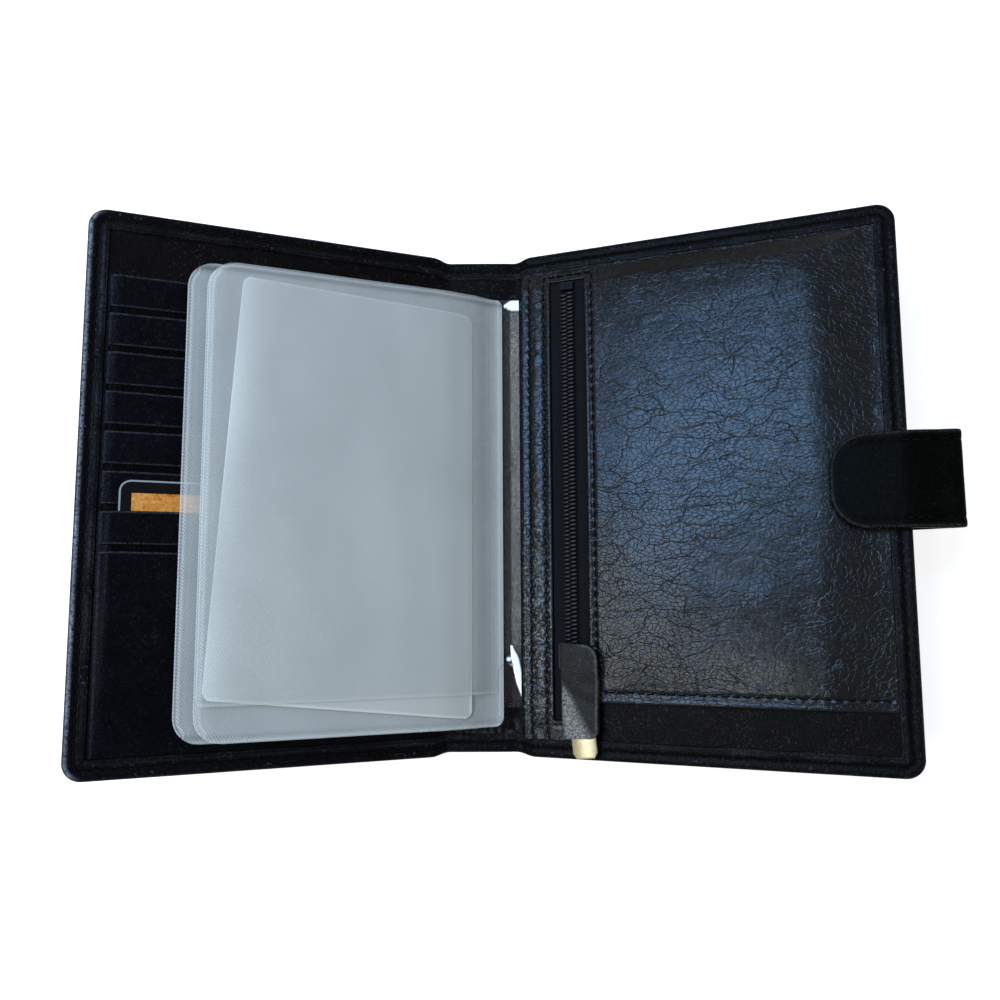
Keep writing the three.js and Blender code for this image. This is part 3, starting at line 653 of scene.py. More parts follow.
def skin(cover, nodes, seed):
    """Outer leather of a cover and half the spine, turned in over the rim and stitched down."""
    width, on_left = cover["width"], cover["side"] < 0
    s = merged(spaced(-FOLD_X, FOLD_IN, 0.9), spaced(FOLD_IN, FOLD_OUT, 0.4),
               spaced(FOLD_OUT, width - RIM_STOPS[-1], 1.5), width - RIM_STOPS)
    s, y = grid(s, edged(-HALF, HALF, RIM_STOPS, 1.3))
    d = np.minimum(width - s, HALF - np.abs(y))
    share = spine_share(s)
    s, y = round_box(s, y, -FOLD_X, width, -HALF, HALF, (0, CORNER, CORNER, 0))
    y = y * share
    # how far along the rim, so that stitches sit deeper than the leather between them
    along = np.where(width - s < HALF - np.abs(y), y, s)
    top = border_level(s) - rim_round(d, 0.75)
    top -= (0.16 + 0.1 * cycle(along, STITCH_PITCH)) * groove(d - STITCH_IN, 0.42)
    top += 0.1 * groove(d - 1.2, 0.8) + 0.1 * groove(d - 4.4, 0.8)
    top += 0.05 * noise(s, y, 5.5, seed) + 0.03 * noise(s, y, 1.8, seed + 1)
    # the turned leather puckers round each corner
    out_s, out_y = s - (width - CORNER), np.abs(y) - (HALF - CORNER)
    pucker = ease((6.2 - np.hypot(out_s, out_y)) / 2.5) * ((out_s > -1.6) & (out_y > -1.6))
    pucker *= ease((d - 0.2) / 0.6)
    top -= pucker * 0.13 * (0.5 + 0.5 *
                              np.cos(24 * np.arctan2(out_y, out_s) + 0.8 * noise(s, y, 2, seed + 2)))
    # inside the turned border the leather runs on under the lining
    top = mixed(top, level(s, "lining") - 0.25, ease((d - 5.25) / 0.35)) - 0.1 * groove(d - 5.62, 0.1)
    bottom = LEVELS["bottom"] + rim_round(d, 0.75) + 0.10 * groove(d - STITCH_IN, 0.42)
    # painted highlights along the rim, the border's inner edge and the left cover's fore edge; painted shade
    # in the stitch groove
    spots = 0.5 + 0.5 * noise(s, y, 7, seed + 3)
    fore = ease((s - (width - 5)) / 4) * on_left
    painted_light_and_density = spots * (0.10 * groove(d - 0.25, 0.25) + 0.14 * groove(d - 5.28, 0.16)
                    + 0.06 * groove(d - 4.1, 0.45) + 0.26 * fore * groove(d - 4.3, 0.8))
    painted_light_and_density += fore * groove(d - 0.7, 0.36) * (0.45 + 0.45 * spots) - groove(d - STITCH_IN, 0.45)
    piece = slab(f"{cover['name']}_skin", s, y, top, bottom, cover_bend(cover), "outer",
                 flip=on_left, painted_light_and_density=painted_light_and_density)
    fold_blend(settle(piece, nodes), cover)


def build_covers():
    skin(LEFT, ["left_cover_leather", "left_fold", "spine_leather"], 11)
    skin(RIGHT, ["right_cover_leather", "right_fold"], 31)
    for cover in (LEFT, RIGHT):
        path = round_end(-FOLD_X, cover["width"] - STITCH_IN, HALF - STITCH_IN, CORNER - STITCH_IN, 24)
        bend = cover_bend(cover)

        def moved(s, y, h):
            return bend(s, y * spine_share(s), h)
        rows = [sew(f"{cover['name']}_border_stitches", moved, path, lambda s, y: border_level(s) - 0.10),
                sew(f"{cover['name']}_back_stitches", moved, path, LEVELS["bottom"] + 0.04,
                    seed=6, underside=True)]
        for row in rows:
            fold_blend(row, cover)


def spine_pleats(s, y):
    """Small pleats where the spine's lining gathers at the lower end."""
    near_spine = ease((3 - s) / 3)
    folds = 0.34 * np.abs(noise(s + 0.7 * y, y * 0.3, 1.7, 77)) + 0.08 * noise(s, y, 0.9, 78)
    low = ease((-60 - y) / 6) * ease((-65.4 - y) / 1.5)
    return near_spine * (0.16 * groove(y + 64.9, 0.35) + low * folds)


def lining_sheet(cover, nodes, seed):
    s = merged(spaced(-FOLD_X, FOLD_IN, 0.5), spaced(FOLD_IN, FOLD_OUT, 0.35),
               spaced(FOLD_OUT, cover["width"] - 5.4, 1.2))
    s, y = grid(s, spaced(5.35 - HALF, HALF - 5.35, 0.7))
    y = y * spine_share(s)
    base = level(s, "lining") - 0.2 * fold_dip(s)
    top = base + 0.02 + 0.06 * noise(s, y, 4, seed) + 0.03 * noise(s, y, 1.5, seed + 1) + spine_pleats(s, y)
    # painted highlights in patches where the lining pleats at the spine's lower end
    low = ease((-63 - y) / 4) * ease((1 - s) / 3)
    piece = slab(f"{cover['name']}_lining_sheet", s, y, top, base - 0.4, cover_bend(cover), "lining",
                 flip=cover["side"] < 0, painted_light_and_density=0.35 * low * ease(noise(s * 2.2, y, 2.4, seed + 5) * 2))
    fold_blend(settle(piece, nodes), cover)


# Card slots on the left cover

SLOT_COUNT = 8
SLOT_PITCH, SLOT_FIRST, SLOT_LENGTH, SLOT_THICK = 10.6, 57.0, 14.0, 0.45
SLOT_NEAR, SLOT_FAR, POCKET_FOOT = 3.0, 95.4, -69.3
CARD_HALF, CARD_CORNER, CARD_THICK = (42.8, 27.0), 3.18, 0.76
CARD_NEAR, CARD_HEAD, CARD_HEAD_LEVEL, CARD_SLOPE = 5.1, 1.8, 1.7293, 0.027394
CARD_STOPS = np.array([0, 0.06, 0.16, 0.3, 0.5, 0.75, 1.0, 1.4, 2.2, 3.18])


def slot_profile(number):
    """Upper edge, foot, and heights of the strip's underside there, and its thickness."""
    edge = SLOT_FIRST - (number - 1) * SLOT_PITCH
    if number == SLOT_COUNT:
        return edge, POCKET_FOOT, 2.9188, 0.3, 0.6
    # the card lies under the seventh strip and lifts it
    head_rise, foot_rise = (2.509, 2.1257) if number == 7 else (1.1745, 0.25)
    return edge, edge - SLOT_LENGTH, head_rise, foot_rise, SLOT_THICK


def build_slots():
    s_stops = merged(spaced(SLOT_NEAR, 80, 2.0), spaced(80, 93.4, 0.6), spaced(93.6, SLOT_FAR, 0.2))
    line = SLOT_PITCH - 2.1
    for number in range(1, SLOT_COUNT + 1):
        edge, foot, head_rise, foot_rise, thick = slot_profile(number)
        below = merged([0, 0.05, 0.13, 0.25, 0.4, 0.6, 0.8, 1.0, 1.2, 1.5], spaced(2.1, edge - foot, 1.1),
                       spaced(line - 0.6, line + 0.6, 0.15), [SLOT_PITCH - 0.6, SLOT_PITCH - 0.2, SLOT_PITCH])
        s, down = grid(s_stops, below)
        wave = 0.12 * noise(s, number * 7, 9, 40 + number) + 0.05 * noise(s, 0, 3, 50 + number)
        y = edge - down + wave * np.clip(1 - down / 6, 0, 1)
        base = LEVELS["lining"] + head_rise + (foot_rise - head_rise) * down / (edge - foot)
        top = base + thick - rim_round(down, 0.28) * 0.8 - 0.06 * groove(down - 1.0, 0.2)
        top += 0.07 * groove(down - 0.45, 0.3) + 0.05 * noise(s, y, 5, 60 + number)
        top += 0.03 * noise(s, y, 1.6, 70)
        # the ends are held down by the border
        drop = np.maximum(base - LEVELS["lining"] - 0.05, 0) * 0.55 * ease((s - (SLOT_FAR - 3.2)) / 3.2)
        top, base = top - drop, base - drop + rim_round(down, 0.28) * 0.3
        shown = 1 - ease((s - 94.2) / 0.6)
        # painted highlights on each strip's edge, its pressed line and the inner crease; painted shade in the
        # opening below the pressed line
        painted_light_and_density = 0.34 * groove(down - 0.3, 0.24) * shown + 0.16 * groove(s - 94.5, 0.3)
        if number < SLOT_COUNT:
            opening = ease((down - line - 0.2) / 0.3)
            top += (0.10 * groove(down - line, 0.22) - 0.12 * opening) * shown
            painted_light_and_density += (0.26 * groove(down - line, 0.2) - opening) * shown
        piece = slab(f"slot_strip_{number}", s, y, top, base, left_flat, "slots", painted_light_and_density=painted_light_and_density)
        settle(piece, [f"card_slot_{number}"], "left_cover")


def build_card():
    """The card, laid out about its own middle."""
    half_w, half_h = CARD_HALF
    s, y = grid(edged(-half_w, half_w, CARD_STOPS, 3), edged(-half_h, half_h, CARD_STOPS, 3))
    d = np.minimum(half_w - np.abs(s), half_h - np.abs(y))
    s, y = round_box(s, y, -half_w, half_w, -half_h, half_h, (CARD_CORNER,) * 4)
    c, n = math.cos(math.atan(CARD_SLOPE)), math.sin(math.atan(CARD_SLOPE))
    middle = LEVELS["lining"] + CARD_HEAD_LEVEL - half_h * CARD_SLOPE

    def bend(cs, cy, h):
        return left_flat(CARD_NEAR + half_w + cs, CARD_HEAD - half_h + cy * c - h * n,
                         middle + cy * n + h * c)
    piece = slab("travel_card_shell", s, y, CARD_THICK - rim_round(d, 0.16), rim_round(d, 0.16), bend, "card",
                 marks=(d, 9))
    settle(piece, ["travel_card"], "card")


# Clear insert. rho runs from the leaf hinge towards the fore edge; below zero the films curve down
# onto the spine. Each film is cut where one leaf's turn hands over to the next.

LEAF_X, LEAF_Z, LEAF_RAISE = -3.5, 2.65, math.radians(22)
LEAF_JOIN, LEAF_LIFT = 12.0, 3.7
LEAF_TOP, LEAF_LOW, FACE_LOW, FACE_NOTCH = 61.4, -66.5, -57.0, -49.0
ROOT_X, ROOT_Z = 6.0, 2.5
ROOT_RHO, FIRST_CUT, SECOND_CUT = -8.6, 1.8, 3.9
FILM_STOPS = np.array([0, 0.1, 0.3, 0.55, 0.8, 1.05, 1.3, 1.6, 2.1, 2.8, 3.7, 5, 7])
SLEEVE_WIDE, SLEEVE_TALL = 74.0, 113.5
SLEEVE_LOW = np.array([[2.4, -63.8], [75.8, -55.3]])
SLEEVE_HIGH = np.array([[2.4, 55.0], [68.4, 58.2]])
SLEEVE_STOPS = np.array([0, 0.1, 0.3, 0.6, 1, 1.5, 2.2, 3.2])


def leaf_bend(rho, y, h):
    c, n = math.cos(LEAF_RAISE), math.sin(LEAF_RAISE)
    join_x = LEAF_X - LEAF_JOIN * c + LEAF_LIFT * n
    length = ROOT_X - join_x
    climb = LEAF_Z + LEAF_JOIN * n + LEAF_LIFT * c - ROOT_Z
    slope = math.tan(LEAF_RAISE) * length
    t = np.clip(1 - (LEAF_JOIN - rho) / (LEAF_JOIN - ROOT_RHO), 0, 1)
    beyond = np.maximum(rho - LEAF_JOIN, 0)
    x = ROOT_X - t * length - beyond * c
    z = ROOT_Z + (3 * t ** 2 - 2 * t ** 3) * climb + (t ** 3 - t ** 2) * slope + beyond * n
    tilt = np.arctan(((6 * t - 6 * t ** 2) * climb + (3 * t ** 2 - 2 * t) * slope) / length)
    thin = h * (0.45 + 0.55 * ease((rho + 7) / 9))
    return np.stack([x + thin * np.sin(tilt), y, z + thin * np.cos(tilt)], -1)


def leaf_bow(x, y):
    """The leaves lie on each other, so they share their waves."""
    return (0.3 * noise(x, y, 34, 101) + 0.10 * noise(x, y, 12, 102)) * ease((x - 4) / 8)


def film(name, near, far, low, radii, floor, thick, look, bodies, nodes=(), notch=None):
    """One clear sheet with raised welded edges. An edge at a cut is left square and plain."""
    cuts, high = (FIRST_CUT, SECOND_CUT), LEAF_TOP
    if far in cuts:
        x = spaced(near, far, 0.3)
    else:
        x = merged(spaced(near, 7, 0.3), spaced(7, far - 7, 1.6), far - FILM_STOPS)
    x, y = grid(x, edged(low, high, FILM_STOPS, 1.6))
    to_near = np.full_like(x, 99) if near in cuts else x - near
    to_far = np.full_like(x, 99) if far in cuts else far - x
    d = np.minimum(np.minimum(to_near, to_far), np.minimum(y - low, high - y))
    open_ends = (near in cuts, far in cuts, far in cuts, near in cuts)
    x, y = round_box(x, y, near, far, low, high, [0 if cut else r for cut, r in zip(open_ends, radii)])
    if notch is not None:
        x = np.maximum(x, near + 2.2 * ease((notch - y) / 1.2) * (x < near + 2.3) + 0.02 * (x - near))
    bow = leaf_bow(x, y)
    ridge = 0.10 * groove(d - 0.75, 0.32) + 0.05 * groove(d - 2.2, 0.2)
    ridge += 0.05 * np.sin((x + y) * 4.5) * groove(d - 0.75, 0.3)
    ridge += 0.12 * groove(x + 3.4, 0.35) + 0.12 * groove(x + 5.0, 0.35)
    top = floor + thick + ridge + bow - rim_round(d, 0.12)
    bottom = floor + bow + rim_round(d, 0.12) * 0.5
    # welds are dense, with painted highlights on their ridges; the open top is thinner and shows the dark
    # leather through
    painted_light_and_density = 0.6 * groove(to_far - 1.1, 0.45) + 0.5 * groove(to_far - 0.15, 0.2)
    painted_light_and_density -= 0.6 * groove(to_far - 0.55, 0.2)
    painted_light_and_density += 0.16 * groove(to_far - 2.8, 0.9) + 0.25 * groove(x + 7.2, 0.35)
    painted_light_and_density += 0.4 * groove(y - low - 0.5, 0.3) + 0.3 * groove(high - y - 0.1, 0.2)
    painted_light_and_density -= 0.75 * groove(high - y - 1.5, 1.0) + 0.35 * groove(y - low - 1.7, 0.6)
    piece = slab(name, x, y, top, bottom, leaf_bend, look, flip=True, painted_light_and_density=painted_light_and_density)
    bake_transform(settle(piece, nodes))


def build_insert():
    """Rear, middle and front leaf; the front leaf is two films, open at the foot."""
    corners, face_corners = (3, 7, 7, 2), (2, 2, 7, 2)
    rear, middle, front = ("rear_leaf", "spine"), ("middle_leaf", "rear_leaf"), ("front_leaf", "middle_leaf")
    film("rear_leaf_film", ROOT_RHO, 82.5, LEAF_LOW, corners, 0.0, 0.6, "film", rear, ["rear_leaf"])
    film("middle_leaf_root", ROOT_RHO, FIRST_CUT, LEAF_LOW, corners, 0.9, 0.6, "film", rear)
    film("middle_leaf_film", FIRST_CUT, 77.6, LEAF_LOW, corners, 0.9, 0.6, "film", middle, ["middle_leaf"])
    for side, low, radii, floor, nodes, notch in (("back", LEAF_LOW, corners, 1.8, ["front_leaf"], None),
                                                  ("face", FACE_LOW, face_corners, 3.0, [], FACE_NOTCH)):
        shape = (low, radii, floor, 0.3, "half_film")
        film(f"front_{side}_root", ROOT_RHO, FIRST_CUT, *shape, rear, notch=notch)
        film(f"front_{side}_neck", FIRST_CUT, SECOND_CUT, *shape, middle)
        film(f"front_{side}_film", SECOND_CUT, 77.2, *shape, front, nodes)


def build_sleeve():
    """A loose sleeve that leans in the front leaf's pocket; its lower right corner shows below the film."""
    wide, tall = SLEEVE_WIDE, SLEEVE_TALL
    x, y = grid(edged(0, wide, SLEEVE_STOPS, 1.6), edged(0, tall, SLEEVE_STOPS, 1.6))
    d = np.minimum(np.minimum(x, wide - x), np.minimum(y, tall - y))
    x, y = round_box(x, y, 0, wide, 0, tall, (2.5, 2.5, 2.5, 2.5))
    u, v = x / wide, y / tall
    rho, height = (mixed(mixed(*SLEEVE_LOW[:, k], u), mixed(*SLEEVE_HIGH[:, k], u), v) for k in (0, 1))
    bow = leaf_bow(rho, height)
    top = 2.7 + bow - rim_round(d, 0.1) + 0.03 * groove(d - 0.6, 0.3)
    # a painted highlight along the folded side, with denser film, and paler rims at top and bottom
    painted_light_and_density = 0.8 * np.exp(-((wide - x) / 5.0) ** 1.4) * (0.8 + 0.2 * np.cos(v * 9))
    painted_light_and_density += 0.3 * groove(y - 0.35, 0.3) + 0.15 * groove(tall - y - 0.35, 0.3)
    painted_light_and_density += 0.35 * groove(x - 0.4, 0.3) * ease((0.12 - v) / 0.04)
    piece = slab("loose_sleeve_film", rho, height, top, 2.4 + bow, leaf_bend, "sleeve", flip=True, painted_light_and_density=painted_light_and_density)
    settle(piece, ["loose_sleeve"], "sleeve")


FLAP_NEAR, FLAP_FAR, FLAP_LOW, FLAP_HIGH, FLAP_LEVEL = -5.2, 11.2, -61, 62, 2.12
CREST_Y = (-60.0, -57.3, -54.3, -50.9, -47.4, -45.1, -43.2)
CREST_X = (13.0, 12.0, 10.9, 10.2, 9.5, 8.9, 8.4)


def build_flap():
    """The clear binding flap on the spine. Its free edge curls up at the ends, where it catches the light."""
    x, y = grid(spaced(FLAP_NEAR, FLAP_FAR, 0.25), spaced(FLAP_LOW, FLAP_HIGH, 0.45))
    # below Y -49 only a tongue at the free side runs on
    near = FLAP_NEAR + 11.5 * ease((-48.2 - y) / 1.0)
    x = near + (x - FLAP_NEAR) * (FLAP_FAR - near) / (FLAP_FAR - FLAP_NEAR)
    upper = groove(y - 60.2, 0.3 + 1.5 * ease((x - 6.4) / 3.0)) * ease((x - 6.2) / 1.0)
    lower = groove(x - np.interp(y, CREST_Y, CREST_X), 0.35 + 0.75 * ease((-43.2 - y) / 4))
    lower *= ease((-42.6 - y) / 1.2)
    lower = np.maximum(lower, 0.8 * groove(x - 7.6, 0.8) * groove(y + 47.2, 0.7))
    lift = 0.26 * (upper + lower) + 0.06 * ease((x - 6) / 3) * (0.6 + 0.4 * noise(x, y, 14, 131))
    # the band towards the free side is a painted reflection; on the curled ridges the film is painted bright
    # as a glint
    painted_light_and_density = ease((x - 8.2) / 0.7) * (0.35 + 0.65 * ease((y + 47) / 6)) * (0.7 + 0.3 * noise(x, y, 9, 132))
    glint_mask = np.clip(3 * np.maximum(upper, lower) - 0.6, 0, 1)
    piece = slab("binding_flap_film", x, y, FLAP_LEVEL + 0.3 + lift, FLAP_LEVEL + lift,
                 lambda *places: np.stack(places, -1), "flap", painted_light_and_density=painted_light_and_density * (1 - glint_mask) - glint_mask)
    settle(piece, ["insert_binding"], "spine")


# Zip pocket on the right cover

PANEL_NEAR, PANEL_FAR, PANEL_TOP, PANEL_HEM, PANEL_LOW = 1.45, 101.5, 69.5, -59.0, -69.5
WINDOW_NEAR, WINDOW_FAR, WINDOW_LOW, WINDOW_HIGH = 10.8, 21.4, -64.0, 65.4
ROW_A, ROW_B, ROW_C, ROW_TOP, ROW_HEM = 3.94, 8.63, 23.54, 67.4, -56.0
PANEL_EDGE = np.array([0, 0.06, 0.15, 0.3, 0.5])
ZIP_MIDDLE, TOOTH_PITCH, TOOTH_LEVEL, TOOTH_LEAN = 16.1, 1.2, 3.05, 0.10


def panel_fall(s, y):
    """The panel slopes down to the stitched border at its far side and its top."""
    return ease(np.maximum((s - 83) / 18.5, (y - 63.5) / 6.0))


def panel_height(s, y):
    """Top of the panel without its edges: sewn channels, folds and the crackled surface."""
    base = 3.2 + 0.2 * ease((s - 24) / 12) * ease((98 - s) / 12) * ease((y + 58) / 12) * ease((66 - y) / 10)
    base -= 1.35 * panel_fall(s, y)
    strip = ease((10.8 - s) / 1.0)
    low = ease((-y + 15) / 40)
    folds = np.abs(noise(s * 0.55, y, 2.6, 201)) + 0.5 * np.abs(noise(s * 0.7, y, 1.2, 202))
    base += strip * (0.28 * groove(s - 6.2, 1.7) - (0.16 + 0.28 * low) * folds * groove(s - 6.2, 2.0))
    crack = cells(s * 0.62 + 0.9 * noise(s, y, 3, 203), y + 0.7 * noise(s, y, 3, 204), 1.5, 205)
    wide = cells(s * 0.6 + 2.2 * noise(s, y, 8, 208), y + 2.2 * noise(s, y, 8, 209), 6.5, 210)
    middle = groove(s - 52, 34) * groove(y + 2, 52)
    patch = 0.5 + 0.5 * noise(s, y, 11, 214)
    relief = 0.010 * noise(s, y, 1.9, 215) + 0.045 * noise(s, y, 6.5, 211) + 0.12 * noise(s, y, 24, 212)
    relief -= (0.015 + 0.03 * middle * patch) * groove(crack, 0.2)
    relief -= 0.07 * groove(wide, 0.06) * (0.3 + 0.7 * middle) * patch
    return base + ease((s - 22) / 3) * relief


def panel_rows(s, y):
    """How deep the stitched rows pull the panel in."""
    def row(distance, along):
        return (0.24 + 0.12 * cycle(along, STITCH_PITCH)) * groove(distance, 0.45)
    below = y <= ROW_TOP
    depth = row(s - ROW_A, y) + row(s - ROW_B, y) * below + row(s - ROW_C, y) * below * (y > PANEL_HEM + 1)
    depth += row(y - ROW_TOP, s) * ((s > ROW_B - 0.5) & (s < ROW_C + 0.5))
    return depth + row(y - ROW_HEM, s) * (s > ROW_C)


def outside(values, low, high):
    return np.maximum(np.maximum(low - values, values - high), 0)


def build_panel():
    s_stops = merged(PANEL_NEAR + PANEL_EDGE, spaced(PANEL_NEAR + 0.8, 10.3, 0.36), WINDOW_NEAR - PANEL_EDGE,
                     WINDOW_NEAR + 0.5, spaced(12, 20, 2), WINDOW_FAR - 0.5, WINDOW_FAR + PANEL_EDGE,
                     spaced(22.3, PANEL_FAR, 0.44))
    y_stops = merged(PANEL_LOW + PANEL_EDGE, spaced(-68.6, WINDOW_LOW - 0.8, 0.45), WINDOW_LOW - PANEL_EDGE,
                     WINDOW_LOW + 0.5, spaced(-62.8, PANEL_HEM - 0.5, 0.45), PANEL_HEM + PANEL_EDGE,
                     spaced(PANEL_HEM + 0.9, WINDOW_HIGH - 0.5, 0.44), WINDOW_HIGH + PANEL_EDGE,
                     spaced(WINDOW_HIGH + 0.9, PANEL_TOP, 0.42))
    s, y = grid(*((stops[:-1] + stops[1:]) / 2 for stops in (s_stops, y_stops)))
    in_window = (s > WINDOW_NEAR) & (s < WINDOW_FAR) & (y > WINDOW_LOW) & (y < WINDOW_HIGH)
    mask = ~(in_window | (s > WINDOW_FAR) & (y < PANEL_HEM))
    s, y = grid(s_stops, y_stops)
    to_window = np.hypot(outside(s, WINDOW_NEAR, WINDOW_FAR), outside(y, WINDOW_LOW, WINDOW_HIGH))
    to_hem = np.where(s >= WINDOW_FAR - 0.01, np.maximum(y - PANEL_HEM, 0), 99)
    d = np.minimum(np.minimum(to_window, to_hem), s - PANEL_NEAR)
    rows = panel_rows(s, y)
    top = panel_height(s, y) - rows - rim_round(d, 0.45)
    top -= 0.10 * groove(d - 1.6, 0.5) - 0.08 * groove(d - 0.8, 0.4)
    bottom = np.minimum(2.4 - 0.7 * panel_fall(s, y), top - 0.3) + rim_round(d, 0.45) * 0.35
    # painted pale grey highlights on the strip's folds and beside the window in the lower half; painted shade
    # in the stitched rows
    silver_highlight = ease((10.6 - s) / 0.6) * (0.12 + 0.75 * ease((12 - y) / 45)) * ease((y + 67) / 5)
    silver_highlight += 0.5 * ease((26 - s) / 3) * ease((s - 21.4) / 0.5) * ease((-10 - y) / 20)
    painted_light_and_density = np.clip(silver_highlight, 0, 1) * (1 - np.clip(rows * 5, 0, 1)) - np.clip(rows * 3.2, 0, 1)
    piece = slab("pocket_panel_skin", s, y, top, bottom, right_flat, "gloss", mask, painted_light_and_density=painted_light_and_density)
    settle(piece, ["zip_facing", "pocket_panel"], "right_cover")
    paths = {
        "panel_stitches_left": [[ROW_A, -68.8], [ROW_A, 68.8]],
        "panel_stitches_zip": [[ROW_B, -68.8], [ROW_B, ROW_TOP], [ROW_C, ROW_TOP], [ROW_C, PANEL_HEM + 0.6]],
        "panel_stitches_hem": [[ROW_C + 2.0, ROW_HEM], [100.6, ROW_HEM]],
    }
    for name, path in paths.items():
        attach(sew(name, right_flat, path,
                    lambda s, y: panel_height(s, y) - 0.2, seed=len(name)), "right_cover")


def build_zip():
    for name, side, edge in (("left", -1, 9.5), ("right", 1, 22.7)):
        s = np.linspace(*sorted((ZIP_MIDDLE + side * 0.12, edge)), 34)
        s, y = grid(s, spaced(WINDOW_LOW - 0.25, WINDOW_HIGH + 0.25, 0.19))
        chevron = np.abs(((np.abs(s - ZIP_MIDDLE) / 1.35) % 2) - 1) * 1.35
        ridge = np.sin(2 * math.pi * (y + 1.3 * chevron) / 1.1)
        top = 2.2 + 0.11 * ridge + 0.04 * noise(s, y, 4, 301)
        piece = slab(f"zip_tape_{name}_weave", s, y, top, 1.9, right_flat, "tape")
        settle(piece, [f"zip_tape_{name}"], "right_cover")
        build_teeth(name, side)
    build_bag()


def build_teeth(name, side):
    """One row of teeth, standing half a pitch off the other row's."""
    low, high = WINDOW_LOW + 3.25, WINDOW_HIGH - 3.25
    count = int((high - low) / TOOTH_PITCH)
    y = low + (np.arange(count) + (0.25 if side < 0 else 0.75)) * TOOTH_PITCH
    middle, h = np.full(count, ZIP_MIDDLE + side * 0.98), np.full(count, TOOTH_LEVEL)
    origin = right_flat(middle, y, h)
    inward = unit(right_flat(middle - side, y, h) - origin - side * TOOTH_LEAN * np.array([0.0, 1.0, 0.0]))
    up = right_flat(middle, y, h + 1) - origin
    axes = np.stack([inward, np.cross(up, inward), up], 1)
    piece = strewn(f"zip_teeth_{name}", capsule(1.15, 0.47, 0.5, 10, flare=0.12), origin, axes,
                   np.stack([middle, y, h], 1), "coil")
    settle(piece, [f"zip_coil_{name}"], "right_cover")


def build_bag():
    s, y = grid(spaced(2.2, 101.1, 2), spaced(-56, 69.1, 2))
    wave = 0.05 * noise(s, y, 7, 320)
    piece = slab("pocket_bag_cloth", s, y, 1.62 + wave, 1.45 + wave, right_flat, "cloth")
    settle(piece, ["zip_pocket_bag"], "right_cover")


# Zip pull, laid out about its hinge

PULL_AXIS = (16.1, -44.5, 5.2)
PULL_TURN = math.radians(6)
PULL_WIDE, PULL_TALL, PULL_FOOT = 9.8, 24.0, -23.9
PLATE_HALF, PLATE_FOOT, PLATE_SHIFT = 3.6, -29.2, (1.45, -0.6)


def pull_bend(x, y, h):
    c, n = math.cos(PULL_TURN), math.sin(PULL_TURN)
    return right_flat(PULL_AXIS[0] + x * c - y * n, PULL_AXIS[1] + x * n + y * c, PULL_AXIS[2] + h)


def build_pull():
    """Leather tube with a slanted hood over the slider, and the metal plate that ends it."""
    rim = np.array([0, 0.006, 0.016, 0.034, 0.06])
    u, v = grid(merged(rim, spaced(0.1, 0.9, 0.04), 1 - rim, apart=0.004),
                merged(rim / 2.4, spaced(0.04, 0.96, 0.02), 1 - rim / 2.4, apart=0.002))
    d = np.minimum(np.minimum(u, 1 - u) * PULL_WIDE, np.minimum(v, 1 - v) * PULL_TALL)
    # a box with rounded corners, then skewed to the pull's outline
    x, y = round_box(u * PULL_WIDE, v * PULL_TALL, 0, PULL_WIDE, 0, PULL_TALL, (1.2, 2.4, 3.2, 0.5))
    u, v = x / PULL_WIDE, y / PULL_TALL
    x = mixed(-4.6 + 2.85 * v, 6.05 + 2.4 * ease(v * 1.1), u)
    y = PULL_FOOT + (2.9 - 2.0 * u - PULL_FOOT) * v - 0.8 * u * (1 - v)
    hood = ease((y + 10.5) / 5.0)
    fold = (x - 0.9) * 0.45 + (y + 9.5) * 0.9
    top = 1.35 + 1.0 * hood + 0.30 * np.sin(math.pi * u) - rim_round(d, 0.5)
    top += 0.38 * groove(fold, 1.8) * ease(d / 1.5) - 0.2 * groove(fold + 3.0, 1.5)
    top += 0.05 * noise(x, y, 2.2, 401)
    bottom = np.minimum(-1.1 + 2.35 * hood + rim_round(d, 0.4), top - 0.3)
    # a painted highlight on the lower diagonal patch, and a lighter line along the right rim
    highlight_wedge = ease((x + 4.8) / 2.6) * ease((-1.2 - 0.4 * (y + 7.6) - x) / 3.4)
    painted_light_and_density = 0.95 * highlight_wedge * ease((-6 - y) / 6) + 0.35 * groove(d - 0.35, 0.3) * ease((x - 2) / 4)
    piece = slab("zip_pull_cover", x, y, top, bottom, pull_bend, "pull", painted_light_and_density=painted_light_and_density)
    settle(piece, ["zip_pull_leather"], "pull")
    build_plate()


def build_plate():
    stops = END_STOPS[:-1]
    x, y = grid(edged(-PLATE_HALF, PLATE_HALF, stops, 0.4),
                merged(PLATE_FOOT + stops, spaced(-28.6, -20, 0.35)))
    d = np.minimum(PLATE_HALF - np.abs(x), y - PLATE_FOOT)
    cut = np.clip(1.5 - (y - PLATE_FOOT), 0, 1.5) * (np.abs(x) / PLATE_HALF) ** 6
    x = x - np.sign(x) * cut * 0.85
    bow = 0.55 * (1 - (x / PLATE_HALF) ** 2)
    piece = slab("zip_pull_end", x + PLATE_SHIFT[0], y + PLATE_SHIFT[1], 0.35 + bow * 0.9 - rim_round(d, 0.3),
                 -0.35 + bow * 0.6 + rim_round(d, 0.2), pull_bend, "pale_metal")
    settle(piece, ["zip_pull_plate"], "pull")


# Strap: one smooth path in the cover's s and h, cut at the middle of each link

STRAP_HALF, STRAP_THICK, STRAP_CORNER, STRAP_ROW_IN = 12.5, 1.8, 9.5, 2.6
STRAP_POINTS = [(68.0, -2.45), (108.4, -2.45), (113.5, -0.6), (118.6, 1.26), (113.05, 3.28),
                (107.5074, 5.2967), (87.7074, 5.2967)]
STRAP_ARC, STRAP_RISE = 18.0, math.radians(20)
STRAP_STOPS = np.append(END_STOPS, [1.3, 1.8, 2.2, 2.6, 3.0, 3.4, 4.2])
